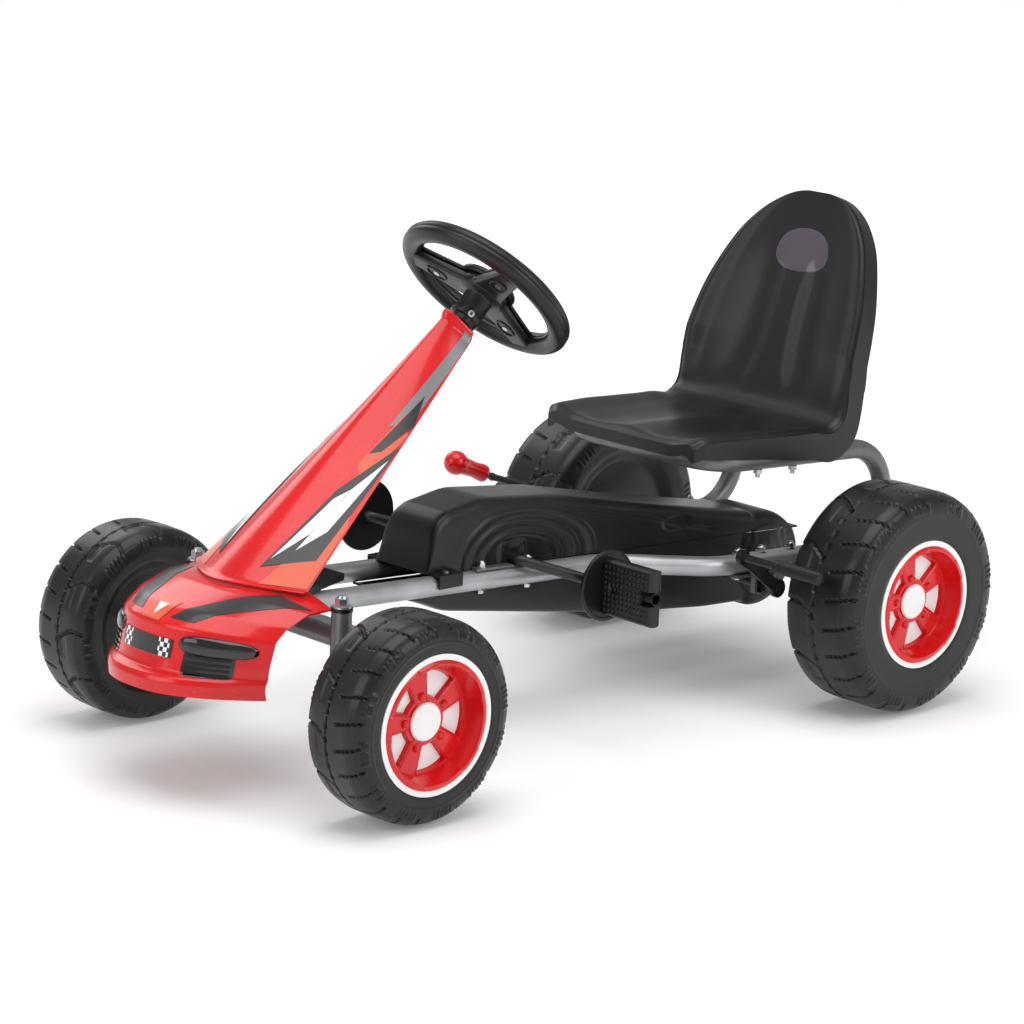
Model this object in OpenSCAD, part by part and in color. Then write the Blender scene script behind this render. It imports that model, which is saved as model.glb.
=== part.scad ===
// Child's pedal go kart.
// Millimetres, +Z up, the nose points to -Y and +X is the driver's left.
// The origin is on the ground, under the middle of the kart's bounding box.

/* [Overall] */
// Front axle to rear axle
wheelbase = 798; // [700:1:1000]
// Front axle to the foremost edge of the nose
nose_reach = 206; // [190:1:240]
// Middle plane to the outer face of a front wheel
front_half_track = 297; // [270:1:340]
// Middle plane to the outer face of a rear wheel
rear_half_track = 322; // [295:1:380]

/* [Wheels] */
// Outer diameter of a front tyre
front_wheel_d = 240; // [220:1:260]
// Width of a front tyre
front_wheel_w = 94; // [80:1:104]
// Outer diameter of a rear tyre
rear_wheel_d = 287; // [260:1:310]
// Width of a rear tyre
rear_wheel_w = 115; // [95:1:125]
// Diameter of the red rim, the same on all four wheels
rim_d = 149; // [130:1:156]
// Depth of the rim's dish
rim_depth = 26; // [20:1:34]
// Diameter of the white cap over the axle nut
cap_d = 45; // [38:1:50]

/* [Frame] */
// Outer diameter of the main tubes
tube_d = 25; // [20:1:28]
// Wall of the main tubes
tube_t = 1.5; // [1.2:0.1:3]
// Middle plane to the middle of a rail at the front
rail_x = 50; // [44:1:56]
// Middle plane to the middle of a rail at the rear
rail_x_rear = 131; // [124:1:146]
// Height of a rail's middle above the front axle's line
rail_z = 203; // [196:1:212]
// Fall of the rails towards the rear, in degrees
rail_fall = 2.4; // [1.5:0.1:3]
// Middle plane to the middle of a kingpin
kingpin_x = 130.6; // [122:0.1:145]
// Outer diameter of a kingpin tube
kingpin_tube_d = 24; // [20:1:28]
// Diameter of a kingpin and of its stub axle
stub_d = 12; // [10:0.5:14]

/* [Steering] */
// Outer diameter of the steering wheel
steer_wheel_d = 234; // [200:1:250]
// Thickness of the steering wheel's rim
steer_rim_d = 27; // [22:1:30]
// Diameter of the steering column
column_d = 20; // [16:1:22]
// Length of the column from its foot to the wheel's ring plane
column_l = 464; // [400:1:500]
// Slope of the column above the ground, in degrees
column_slope = 45.5; // [42:0.5:49]
// Length of the column's arm and of the knuckles' arms
arm_l = 45; // [35:1:55]

/* [Drive] */
// Crank axis behind the front axle
crank_back = 344; // [330:1:360]
// Crank axis to pedal axis
crank_throw = 90; // [75:1:98]
// Diameter of the bent crank rod
crank_d = 13; // [10:0.5:14]
// Teeth on the crank's sprocket, twice those on the axle's
teeth_front = 24; // [20:2:26]
// Diameter of the rear axle
axle_d = 14; // [12:0.5:16]
// Middle plane to the inner end of a pedal
pedal_x = 125; // [115:1:130]
// Width of a pedal
pedal_w = 86; // [70:1:90]

/* [Covers] */
// Width of the chain case outside
case_w = 96; // [84:1:98]
// Wall of the plastic covers
cover_t = 2.5; // [2:0.1:3.5]

/* [Seat] */
// Width of the seat across its pan
seat_w = 300; // [270:1:330]
// Height of the top of the backrest
seat_top_z = 614; // [580:1:650]

/* [Fits] */
// Radial clearance of a shaft that turns in its bush or hub
run_gap = 0.05; // [0.02:0.01:0.1]
// Gap between neighbouring pieces that only meet
seat_gap = 0.3; // [0.2:0.1:0.6]

/* [Hidden] */
$fn = 64;
EPS = 0.01;

front_y = -(nose_reach + wheelbase + rear_wheel_d / 2) / 2 + nose_reach;
rear_y = front_y + wheelbase;
front_z = front_wheel_d / 2;
rear_z = rear_wheel_d / 2;
crank_y = front_y + crank_back;
crank_z = rail_z - crank_back * tan(rail_fall) + tube_d / 2 + crank_d / 2 + 2;
stub_gap = stub_d / 2 + run_gap;
axle_gap = axle_d / 2 + run_gap;
BLACK = "#26272a"; RED = "#e31a1c"; STEEL = "silver"; GREY = "#8d8f92"; WHITE = "white";

// ---- helpers ---------------------------------------------------------------

// Height of a rail's middle line at a distance behind the front axle
function rail_height(back) = rail_z - back * tan(rail_fall);

// Places children in the column's frame: z runs up the column from its foot
module on_column() {
    translate([0, front_y, rail_z + 1]) rotate([column_slope - 90, 0, 0]) children();
}

module mirrored() { children(); mirror([1, 0, 0]) children(); }

// A plain hexagon nut or bolt head, standing on its own origin
module hexagon(across, height) { cylinder(d = across / cos(30), h = height, $fn = 6); }

// A round bar between two points, which can be turned about its own axis
module bar(from, to, d, turn = 0) {
    v = to - from;
    l = norm(v);
    translate(from) rotate([0, acos(v.z / l), atan2(v.y, v.x)]) rotate([0, 0, turn])
        cylinder(d = d, h = l);
}

// A closed shell between two grids of points that have the same size
module grid_shell(outer, inner) {
    rows = len(outer);
    cols = len(outer[0]);
    n = rows * cols;
    points = [for (g = [outer, inner]) for (r = g) for (p = r) p];
    // index of a grid point: side 0 is the outer grid and side 1 the inner grid
    function at(side, i, j) = side * n + i * cols + j;
    function quad(a, b, c, d) = [[a, b, c], [a, c, d]];
    faces = [
        for (i = [0:rows - 2]) for (j = [0:cols - 2]) each concat(
            quad(at(0, i, j), at(0, i, j + 1), at(0, i + 1, j + 1), at(0, i + 1, j)),
            quad(at(1, i, j), at(1, i + 1, j), at(1, i + 1, j + 1), at(1, i, j + 1))),
        for (i = [0:rows - 2]) each concat(
            quad(at(0, i, 0), at(0, i + 1, 0), at(1, i + 1, 0), at(1, i, 0)),
            quad(at(0, i, cols - 1), at(1, i, cols - 1), at(1, i + 1, cols - 1),
                 at(0, i + 1, cols - 1))),
        for (j = [0:cols - 2]) each concat(
            quad(at(0, 0, j), at(1, 0, j), at(1, 0, j + 1), at(0, 0, j + 1)),
            quad(at(0, rows - 1, j), at(0, rows - 1, j + 1), at(1, rows - 1, j + 1),
                 at(1, rows - 1, j)))];
    polyhedron(points = points, faces = faces, convexity = 8);
}

// ---- frame -----------------------------------------------------------------

bend_back = 493;      // front axle to a rail's bend
bend_angle = 32.5;
rail_front = 105;     // front axle to a rail's front end
rail_back = 858;      // front axle to a rail's rear end
hoop_r = 66;          // radius of the hoop's turn behind the axle
hoop_front = 655;     // front axle to the hoop's front corners
hoop_corner_r = 55;
spigot_l = 35;        // length of the hoop's end inside a rail
bush_t = 3;           // wall of a plastic bush
beam_back = 5;        // cross beam behind the front axle
beam_d = 24;
kingpin_low = 150;    // lower end of a kingpin tube
kingpin_top = 214;
beam_z = rail_height(beam_back) - (tube_d + beam_d) / 2 + 1.5;

// Places children in the tilted plane that both rails lie in
module in_rail_plane() {
    translate([0, front_y, rail_z]) rotate([-rail_fall, 0, 0]) children();
}

// A tube's section
module section(d, wall) {
    difference() {
        circle(d = d);
        circle(d = d - 2 * wall);
    }
}

// Corners of the left rail in the rails' plane
RAIL_CORNERS = [
    [rail_x, -rail_front, 0],
    [rail_x, bend_back, 0],
    [rail_x_rear, bend_back + (rail_x_rear - rail_x) / tan(bend_angle), 0],
    [rail_x_rear, rail_back, 0]];

// Shanks of the bolts at some distances, with a little room round them
module bolt_holes(x, backs, d = bolt_d + 0.2) {
    for (b = backs) translate([x, b, -tube_d]) cylinder(d = d, h = 2 * tube_d);
}

// The left rail as a solid rod
module rail_rod(d) {
    for (i = [0:2]) bar(RAIL_CORNERS[i], RAIL_CORNERS[i + 1], d, 50);
    for (i = [1:2]) translate(RAIL_CORNERS[i]) rotate([90, 0, 0]) sphere(d = d + 0.6);
}

module rail_left() {
    color(STEEL) in_rail_plane() difference() {
        rail_rod(tube_d);
        bar(RAIL_CORNERS[0] - [0, 1, 0], RAIL_CORNERS[1] - [0, 10, 0],
            tube_d - 2 * tube_t, 50);
        bar(RAIL_CORNERS[2] + [0, 10, 0], RAIL_CORNERS[3] + [0, 1, 0],
            tube_d - 2 * tube_t, 50);
        bolt_holes(rail_x, CRANK_BOLTS);
        bolt_holes(rail_x_rear, concat(BRAKE_BOLTS, AXLE_BOLTS));
        bolt_holes(rail_x + 4, [case_front + 22], screw_d + 0.2);
    }
}

module rail_right() { mirror([1, 0, 0]) rail_left(); }

// Beam with the two kingpin tubes and the head tube for the column's foot
head_low = 30;        // head tube's ends, measured up the column
head_high = 72;
bush_r = column_d / 2 + bush_t;
head_r = bush_r + 2.5;

// Short bar from a rail up to the head tube
module brace(d) {
    bar([head_r - 5, front_y + 36, rail_height(0) + 36],
        [rail_x - 5, front_y + 36, rail_height(36) + tube_d / 2 - 2], d);
}

module front_beam() {
    pin_bore = stub_d / 2 + bush_t;
    color(GREY) difference() {
        union() {
            translate([-kingpin_x, front_y + beam_back, beam_z]) rotate([0, 90, 0])
                cylinder(d = beam_d, h = 2 * kingpin_x);
            mirrored() {
                translate([kingpin_x, front_y, kingpin_low])
                    cylinder(d = kingpin_tube_d, h = kingpin_top - kingpin_low);
                brace(10);
            }
            on_column() translate([0, 0, head_low])
                cylinder(r = head_r, h = head_high - head_low);
        }
        mirrored() translate([kingpin_x, front_y, kingpin_low - 1])
            cylinder(r = pin_bore, h = kingpin_top - kingpin_low + 2);
        on_column() translate([0, 0, head_low - 20])
            cylinder(r = bush_r, h = head_high - head_low + 40);
        mirrored() in_rail_plane() rail_rod(tube_d - 0.1);
    }
}

module kingpin_bushes() {
    flange = 4;
    color(BLACK) mirrored() translate([kingpin_x, front_y, 0])
        for (end = [0, 1]) translate([0, 0, end ? kingpin_top : kingpin_low])
            mirror([0, 0, end ? 0 : 1]) difference() {
                union() {
                    cylinder(d = kingpin_tube_d + 2, h = flange);
                    translate([0, 0, -15]) cylinder(r = stub_d / 2 + bush_t - 0.1, h = 16);
                }
                translate([0, 0, -16]) cylinder(r = stub_gap, h = flange + 18);
            }
}

upper_bush_low = 380;
upper_bush_high = 402;

module column_support() {
    color(GREY) on_column() difference() {
        union() {
            translate([0, 0, upper_bush_low])
                cylinder(r = head_r - 1, h = upper_bush_high - upper_bush_low);
            bar([0, -40, 50], [0, -10, upper_bush_low + 8], 12);
            bar([0, -40, 50], [0, -head_r, 50], 12);
            translate([0, -40, 50]) sphere(d = 12);
        }
        translate([0, 0, -5]) cylinder(r = bush_r, h = column_l);
        translate([0, 0, head_low - 1])
            cylinder(r = head_r + seat_gap / 3, h = head_high - head_low + 2);
        // room for the upper bush's flange
        translate([0, 0, upper_bush_low - 3]) cylinder(r = head_r - 0.7, h = 3);
    }
}

module column_bushes() {
    flange = 2.5;
    color(BLACK) on_column()
        for (b = [[head_low, head_high], [upper_bush_low, upper_bush_high]])
            translate([0, 0, b[0]]) difference() {
                union() {
                    translate([0, 0, -flange]) cylinder(r = head_r - 1, h = flange);
                    translate([0, 0, -EPS]) cylinder(r = bush_r - 0.1, h = b[1] - b[0]);
                }
                translate([0, 0, -flange - 1])
                    cylinder(r = column_d / 2 + run_gap, h = b[1] - b[0] + flange + 2);
            }
}

// ---- seat hoop -------------------------------------------------------------

// The left half of the hoop in the rails' plane
module hoop_half(d, wall) {
    translate([rail_x_rear, rail_back, hoop_r]) rotate([0, -90, 0])
        rotate_extrude(angle = 180) translate([hoop_r, 0]) section(d, wall);
    translate([rail_x_rear, rail_back, 2 * hoop_r]) rotate([90, 0, 0])
        linear_extrude(rail_back - hoop_front) section(d, wall);
    translate([rail_x_rear - hoop_corner_r, hoop_front, 2 * hoop_r])
        rotate([0, 0, -90]) rotate_extrude(angle = 90) translate([hoop_corner_r, 0]) section(d, wall);
    translate([0, hoop_front - hoop_corner_r, 2 * hoop_r]) rotate([0, 90, 0])
        linear_extrude(rail_x_rear - hoop_corner_r) section(d, wall);
}

module seat_hoop() {
    spigot_wall = 2;
    spigot_d = tube_d - 2 * tube_t - 0.2;
    color(GREY) in_rail_plane() mirrored() difference() {
        union() {
            hoop_half(tube_d, tube_t);
            translate([rail_x_rear, rail_back - spigot_l, 0]) rotate([-90, 0, 0])
                linear_extrude(spigot_l) section(spigot_d, spigot_wall);
            // shoulder that joins the spigot to the bend
            translate([rail_x_rear, rail_back - EPS, 0]) rotate([-90, 0, 0])
                linear_extrude(2) section(tube_d - tube_t, 3);
        }
        bolt_holes(rail_x_rear, [AXLE_BOLTS[1]]);
        translate([0, 0, 2 * hoop_r]) bolt_holes(rail_x_rear, SEAT_BOLTS);
    }
}

// ---- nose and column cover ---------------------------------------------------

nose_half_w = 127;
nose_side_back = 95;  // how far the nose's corners lie behind its middle
grid_across = 24;
nose_rows = 16;

// Middle and corner profiles of the nose: share of the way, distance, height
NOSE_MID = [[0, -12, 236], [0.25, -93, 231], [0.45, -150, 217], [0.55, -173, 202],
            [0.72, -180, 165], [0.82, -186, 150], [0.92, -206, 142], [1, -204, 128]];
NOSE_SIDE = [[0, -12, 217], [0.25, -45, 216], [0.45, -75, 205], [0.55, -92, 190],
             [0.72, -103, 160], [0.82, -106, 146], [0.92, -111, 136], [1, -108, 124]];

function column_of(table, i) = [for (r = table) [r[0], r[i]]];
function nose_point(u, v, inset) =
    let (s = pow(abs(u), 2.4),
         back = lookup(v, column_of(NOSE_MID, 1)) * (1 - s) + lookup(v, column_of(NOSE_SIDE, 1)) * s,
         up = lookup(v, column_of(NOSE_MID, 2)) * (1 - s) + lookup(v, column_of(NOSE_SIDE, 2)) * s,
         stretch = back < -100 ? (nose_reach - 206) * (1 - s) : 0)
    [(nose_half_w - inset) * u, back - stretch + inset * min(1, 3 * v * v), up - inset * (1 - 0.8 * v)];

// Grid of the nose's surface at a depth under the outer skin
function nose_skin(inset) = [for (i = [0:nose_rows]) [for (j = [0:grid_across])
    nose_point(2 * j / grid_across - 1, i / nose_rows, inset)]];

module nose_body() {
    color(RED) translate([0, front_y, 0]) difference() {
        grid_shell(nose_skin(0), nose_skin(cover_t + 1));
        nose_cutout(seat_gap);
    }
}

// The openings for the lamps and the grilles, grown by a gap
lamp_x = 88;
module nose_cutout(gap) {
    mirrored() {
        translate([lamp_x - 32 - gap, -200, 172 - gap])
            cube([64 + 2 * gap, 100, 20 + 2 * gap]);
        translate([lamp_x - 24 - gap, -200, 138 - gap])
            cube([38 + 2 * gap, 100, 34 + 2 * gap]);
    }
}

// A slice of a thicker nose, which lamps and grilles are cut from
module nose_slice(low, high) {
    intersection() {
        grid_shell(nose_skin(low), nose_skin(high));
        children();
    }
}

module headlights() {
    color("#111214") translate([0, front_y, 0]) nose_slice(0.6, 5)
        mirrored() translate([lamp_x - 32, -200, 172]) cube([64, 100, 20]);
}

module grilles() {
    bars = 4;
    color(BLACK) translate([0, front_y, 0]) nose_slice(1, 6) mirrored() {
        translate([lamp_x - 24, -200, 138]) cube([3, 100, 34 - seat_gap]);
        translate([lamp_x + 11, -200, 138]) cube([3, 100, 34 - seat_gap]);
        for (i = [0:bars]) translate([lamp_x - 23, -200, 138 + i * (31 - seat_gap) / bars])
            cube([36, 100, 3]);
    }
}

module number_plate() {
    // patch of the nose's front, carried a little way out of its skin
    function skin(lift) = [for (i = [9:12]) [for (j = [8:16])
        nose_point(2 * j / grid_across - 1, i / nose_rows, 0) + [0, -lift, 0]]];
    color("#161616") translate([0, front_y, 0]) grid_shell(skin(1.1), skin(0.1));
}

cover_low = [-82, 230];       // lower end of the cover's ridge: distance and height
cover_ridge_l = 448;
cover_slope = 39.1;
cover_half_low = 97;
cover_half_high = 24;
cover_side_depth = 36;
cover_foot = 233.2;   // height of the cover's foot, on the nose

function cover_point(u, v, inset) =
    let (w = cover_half_low + (cover_half_high - cover_half_low) * v - inset,
         depth = cover_side_depth * pow(abs(u), 1.6) + inset,
         foot = cover_foot - 4.5 * u * u,
         from = (foot - cover_low.y + depth * cos(cover_slope)) / sin(cover_slope),
         along = from + (cover_ridge_l - from) * v)
    [w * u, cover_low.x + along * cos(cover_slope) + depth * sin(cover_slope),
     cover_low.y + along * sin(cover_slope) - depth * cos(cover_slope)];

module column_cover() {
    rows = 12;
    function skin(inset) = [for (i = [0:rows]) [for (j = [0:grid_across])
        cover_point(2 * j / grid_across - 1, i / rows, inset)]];
    color(RED) translate([0, front_y, 0]) grid_shell(skin(0), skin(cover_t));
}

module hood_rear_cap() {
    cap_low = 217;
    color(BLACK) translate([0, front_y, 0]) difference() {
        hull() {
            translate([-70, -10, cap_low]) cube([140, 2, 7]);
            translate([-30, 86, cap_low - 2]) cube([60, 4, 8]);
            translate([-36, 40, cap_low]) cube([72, 2, 24]);
        }
        hull() {
            translate([-67, -12, cap_low - 4]) cube([134, 3, 8.5]);
            translate([-27, 83, cap_low - 5]) cube([54, 4, 8]);
            translate([-33, 38, cap_low - 4]) cube([66, 3, 25]);
        }
        translate([0, -front_y, 0]) on_column() cylinder(r = head_r + 4, h = 200);
        mirrored() translate([0, -front_y, 0]) brace(12);
        translate([0, -front_y, 0]) on_column() translate([-6, -60, 40]) cube([12, 60, 30]);
    }
}

// ---- chain case --------------------------------------------------------------

disc_r = 60;          // round rear end of the case, about the rear axle
case_front = 206;

// The whole case from the side, back and up from the front axle's ground line
module case_outline() {
    disc_edge = [for (a = [108:-9:-117])
        [wheelbase + disc_r * cos(a), rear_z + disc_r * sin(a)]];
    polygon(concat([[case_front, 192], [214, 258], [236, 277], [300, 288], [430, 275],
                    [560, 249], [700, 221]], disc_edge,
                   [[700, 91], [575, 104], [432, 125], [240, 156], [168, 183]]));
}

// The case's wall, as wide as the case
module case_wall() {
    module upright(w) {
        translate([-w / 2, front_y, 0]) rotate([90, 0, 90]) linear_extrude(w) children();
    }
    difference() {
        upright(case_w) case_outline();
        upright(case_w - 2 * cover_t) offset(delta = -cover_t) case_outline();
    }
}

split = tube_d / 2 + seat_gap;   // the covers' distance from the rails' plane

// Room round the crank brackets' bolts
module bolt_pockets() {
    for (b = CRANK_BOLTS) translate([rail_x, b, -30]) cylinder(r = 8.5, h = 60);
}

module chain_cover() {
    color(BLACK) difference() {
        union() {
            difference() {
                case_wall();
                in_rail_plane() translate([-100, 0, split - 300]) cube([200, 1000, 300]);
            }
            in_rail_plane() {
                translate([-rail_x - 12, case_front + 2, split]) cube([2 * rail_x + 24, 40, 3]);
                mirrored() translate([rail_x + tube_d / 2 + seat_gap, case_front + 2, 0])
                    cube([2.5, 40, split + 3]);
                mirrored() translate([rail_x + 10, case_front + 2, split])
                    cube([5.3, 40, 3]);
            }
        }
        in_rail_plane() mirrored() {
            bolt_pockets();
            bolt_holes(rail_x + 4, [case_front + 22], screw_d + 0.2);
        }
        // square holes for the crank, open downwards over the brackets' feet
        translate([-100, crank_y - 15, crank_z - 32]) cube([200, 30, 48]);
        translate([-case_w / 2 - 1, front_y + 276, 0]) cube([case_w + 2, 98, rail_height(276) + split + 4]);
        translate([-case_w / 2 + cover_t, front_y + case_front + 8, 100])
            cube([case_w - 2 * cover_t, 30, 120]);
    }
}

module chain_tray() {
    color(BLACK) difference() {
        case_wall();
        in_rail_plane() mirrored() bolt_pockets();
        // under the rails at the front, and up to the cover behind them
        in_rail_plane() translate([-100, -50, -split]) cube([200, bend_back + 95, 300]);
        in_rail_plane() translate([-100, bend_back, split - seat_gap]) cube([200, 700, 300]);
        translate([-100, rear_y, rear_z]) rotate([0, 90, 0]) cylinder(r = axle_d / 2 + 3, h = 200);
        translate([-100, brake_y, brake_z]) rotate([0, 90, 0]) cylinder(r = brake_d / 2 + 2.5, h = 200);
    }
}

// ---- bearings, chain and brackets ----------------------------------------------

hanger_t = 7;         // thickness of a crank bracket
hanger_x = 37.5;      // middle plane to its inner face
axle_hanger_t = 8;
bush_flange = 2;

module crank_hangers() {
    foot_back = 276;
    foot_l = 98;
    color(GREY) mirrored() difference() {
        union() {
            translate([hanger_x, crank_y - 16, rail_height(crank_back) + 3])
                cube([hanger_t, 32, crank_z - rail_height(crank_back) - 3]);
            translate([hanger_x, crank_y, crank_z]) rotate([0, 90, 0])
                cylinder(r = 16, h = hanger_t);
            in_rail_plane() translate([hanger_x, foot_back, tube_d / 2]) cube([20, foot_l, 3]);
        }
        in_rail_plane() rail_rod(tube_d + 0.1);
        in_rail_plane() translate([0, 200, -60]) cube([100, 300, 61]);
        translate([0, crank_y, crank_z]) rotate([0, 90, 0])
            cylinder(r = crank_d / 2 + bush_t, h = 100);
        // room for the bent rod where it leaves over the rail
        translate([hanger_x + hanger_t, crank_y, crank_z]) rotate([0, 90, 0])
            cylinder(r = crank_d / 2 + 1.5, h = 60);
        in_rail_plane() bolt_holes(rail_x, CRANK_BOLTS);
    }
}

module axle_hangers() {
    low = rear_z - 20;
    color(GREY) mirrored() difference() {
        union() {
            translate([rail_x_rear - axle_hanger_t / 2, rear_y - 24, low + 4])
                cube([axle_hanger_t, 48, rail_height(wheelbase) - low]);
            translate([rail_x_rear - axle_hanger_t / 2, rear_y, rear_z]) rotate([0, 90, 0])
                cylinder(r = 20, h = axle_hanger_t);
            in_rail_plane() translate([rail_x_rear - 14, AXLE_BOLTS[0] - 12, -tube_d / 2 - 3])
                cube([28, AXLE_BOLTS[1] - AXLE_BOLTS[0] + 24, 3]);
        }
        in_rail_plane() rail_rod(tube_d + 0.1);
        in_rail_plane() translate([rail_x_rear - 20, 600, 0]) cube([40, 300, 60]);
        translate([0, rear_y, rear_z]) rotate([0, 90, 0]) cylinder(r = axle_d / 2 + bush_t, h = 200);
        // room for the bush's flange
        translate([rail_x_rear - axle_hanger_t / 2 - 20, rear_y, rear_z]) rotate([0, 90, 0])
            cylinder(r = axle_d / 2 + bush_t + 2.3, h = 20);
        in_rail_plane() bolt_holes(rail_x_rear, AXLE_BOLTS);
    }
}

// A flanged bush that lies along x, with its flange at the side of the middle
module bush(x, y, z, shaft, length) {
    translate([x, y, z]) rotate([0, 90, 0]) difference() {
        union() {
            translate([0, 0, -bush_flange]) cylinder(r = shaft / 2 + bush_t + 2, h = bush_flange);
            translate([0, 0, -EPS]) cylinder(r = shaft / 2 + bush_t - 0.1, h = length);
        }
        translate([0, 0, -bush_flange - 1])
            cylinder(r = shaft / 2 + run_gap, h = length + bush_flange + 2);
    }
}

module shaft_bushes() {
    color(BLACK) mirrored() {
        bush(hanger_x, crank_y, crank_z, crank_d, hanger_t);
        bush(rail_x_rear - axle_hanger_t / 2, rear_y, rear_z, axle_d, axle_hanger_t);
        bush(brake_hanger_x, brake_y, brake_z, brake_d, brake_hanger_t);
    }
}

chain_pitch = 12.7;
sprocket_t = 3;
function pitch_r(teeth) = chain_pitch / (2 * sin(180 / teeth));

// The chain's run from the side, grown by a half height
module chain_run(grow) {
    r1 = pitch_r(teeth_front) + grow;
    r2 = pitch_r(teeth_front / 2) + grow;
    dy = wheelbase - crank_back;
    dz = rear_z - crank_z;
    c = norm([dy, dz]);
    lean = acos((r1 - r2) / c);
    slope = atan2(dz, dy);
    function rim(r, a) = r * [cos(slope + a), sin(slope + a)];
    step = 7.5;
    polygon(concat(
        [for (a = [lean:step:360 - lean]) rim(r1, a)], [rim(r1, -lean)],
        [for (a = [-lean:step:lean]) [dy, dz] + rim(r2, a)], [[dy, dz] + rim(r2, lean)]));
}

module drive_chain() {
    plate = 1.5;
    inner = sprocket_t / 2 + seat_gap;
    color("dimgray") translate([0, crank_y, crank_z])
        for (x = [inner, -inner - plate]) translate([x, 0, 0]) rotate([90, 0, 90])
            linear_extrude(plate) difference() {
                chain_run(4.3);
                chain_run(-4.3);
            }
}

// A sprocket in the middle plane, with a tooth every whole pitch
module sprocket(teeth, bore, hub_r) {
    r = pitch_r(teeth);
    rotate([0, 90, 0]) difference() {
        union() {
            translate([0, 0, -sprocket_t / 2]) linear_extrude(sprocket_t)
                polygon([for (i = [0:teeth - 1]) each
                    [for (p = [[-0.5, -3.6], [-0.28, -3.6], [-0.1, 3.6], [0.1, 3.6], [0.28, -3.6]])
                        (r + p.y) * [cos((i + p.x) * 360 / teeth), sin((i + p.x) * 360 / teeth)]]]);
            translate([0, 0, -10]) cylinder(r = hub_r, h = 20);
        }
        translate([0, 0, -12]) cylinder(r = bore, h = 24);
    }
}

// ---- bolts and screws ------------------------------------------------------------

CRANK_BOLTS = [290, 367];
AXLE_BOLTS = [754, 842];
BRAKE_BOLTS = [656, 699];
SEAT_BOLTS = [680, 745];
bolt_d = 6;
screw_d = 4;

// A bolt through a tube: dome nut on top, head below, in the rails' plane
module through_bolt(x, back, top, bottom) {
    in_rail_plane() translate([x, back, 0]) {
        translate([0, 0, bottom]) cylinder(d = bolt_d, h = top - bottom);
        translate([0, 0, top - EPS]) hexagon(10, 5);
        translate([0, 0, top + 5]) intersection() {
            translate([0, 0, -1.5]) sphere(r = 5);
            cylinder(r = 6, h = 5);
        }
        translate([0, 0, top - EPS]) cylinder(r = 7, h = 1);
        translate([0, 0, bottom - 4]) hexagon(10, 4 + EPS);
    }
}

module frame_bolts() {
    r = tube_d / 2 + 0.05;
    color(STEEL) mirrored() {
        for (b = CRANK_BOLTS) through_bolt(rail_x, b, r + 3, -r);
        for (b = AXLE_BOLTS) through_bolt(rail_x_rear, b, r, -r - 3);
        for (b = BRAKE_BOLTS) through_bolt(rail_x_rear, b, r, -r - 3);
    }
}

module seat_bolts() {
    color(STEEL) mirrored() in_rail_plane() for (b = SEAT_BOLTS)
        translate([rail_x_rear, b, 2 * hoop_r]) {
            translate([0, 0, -tube_d / 2 - 10]) cylinder(d = bolt_d, h = tube_d + 22);
            translate([0, 0, -tube_d / 2 - 5]) hexagon(10, 5);
        }
}

module cover_screws() {
    color(STEEL) mirrored() in_rail_plane()
        translate([rail_x + 4, case_front + 22, split + 3]) {
            cylinder(d = 9, h = 2);
            translate([0, 0, -8]) cylinder(d = screw_d, h = 9);
        }
}

brake_y = front_y + 704;
brake_z = 143;
brake_d = 12;
brake_hanger_x = 127;
brake_hanger_t = 8;

module brake_hangers() {
    low = brake_z - 14;
    color(GREY) mirrored() difference() {
        union() {
            translate([brake_hanger_x, brake_y - 16, low + 4])
                cube([brake_hanger_t, 32, rail_height(704) - low]);
            translate([brake_hanger_x, brake_y, brake_z]) rotate([0, 90, 0])
                cylinder(r = 14, h = brake_hanger_t);
            in_rail_plane() translate([rail_x_rear - 14, BRAKE_BOLTS[0] - 12, -tube_d / 2 - 3])
                cube([28, BRAKE_BOLTS[1] - BRAKE_BOLTS[0] + 26, 3]);
        }
        in_rail_plane() rail_rod(tube_d + 0.1);
        in_rail_plane() translate([rail_x_rear - 20, 600, 0]) cube([40, 300, 60]);
        translate([0, brake_y, brake_z]) rotate([0, 90, 0]) cylinder(r = brake_d / 2 + bush_t, h = 200);
        in_rail_plane() {
            bolt_holes(rail_x_rear, BRAKE_BOLTS);
            // room for the bolts' heads beside the upright
            for (b = BRAKE_BOLTS) translate([rail_x_rear, b, -40])
                cylinder(d = 13, h = 40 - tube_d / 2 - 3);
        }
    }
}

// ---- seat ------------------------------------------------------------------------

seat_wall = 3.4;
pan_t = 14;           // pan's thickness over the hoop

// Middle line of the seat: share of the way, distance, height, half width as a
// share of the pan's, depth of the side skirt, and the wall's direction in degrees
SEAT_LINE = [[0, 566, 330, 0.86, 17, 90], [0.06, 580, 339, 0.93, 19, 90],
             [0.2, 640, 338, 0.98, 24, 90], [0.38, 745, 333, 1, 33, 90],
             [0.47, 800, 334, 1, 38, 86], [0.53, 826, 350, 1, 36, 55],
             [0.6, 843, 392, 0.99, 32, 24], [0.75, 872, 480, 0.92, 28, 20],
             [0.88, 898, 556, 0.72, 24, 18], [0.95, 910, 592, 0.5, 20, 18],
             [1, 917, 614, 0.2, 14, 18]];

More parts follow.
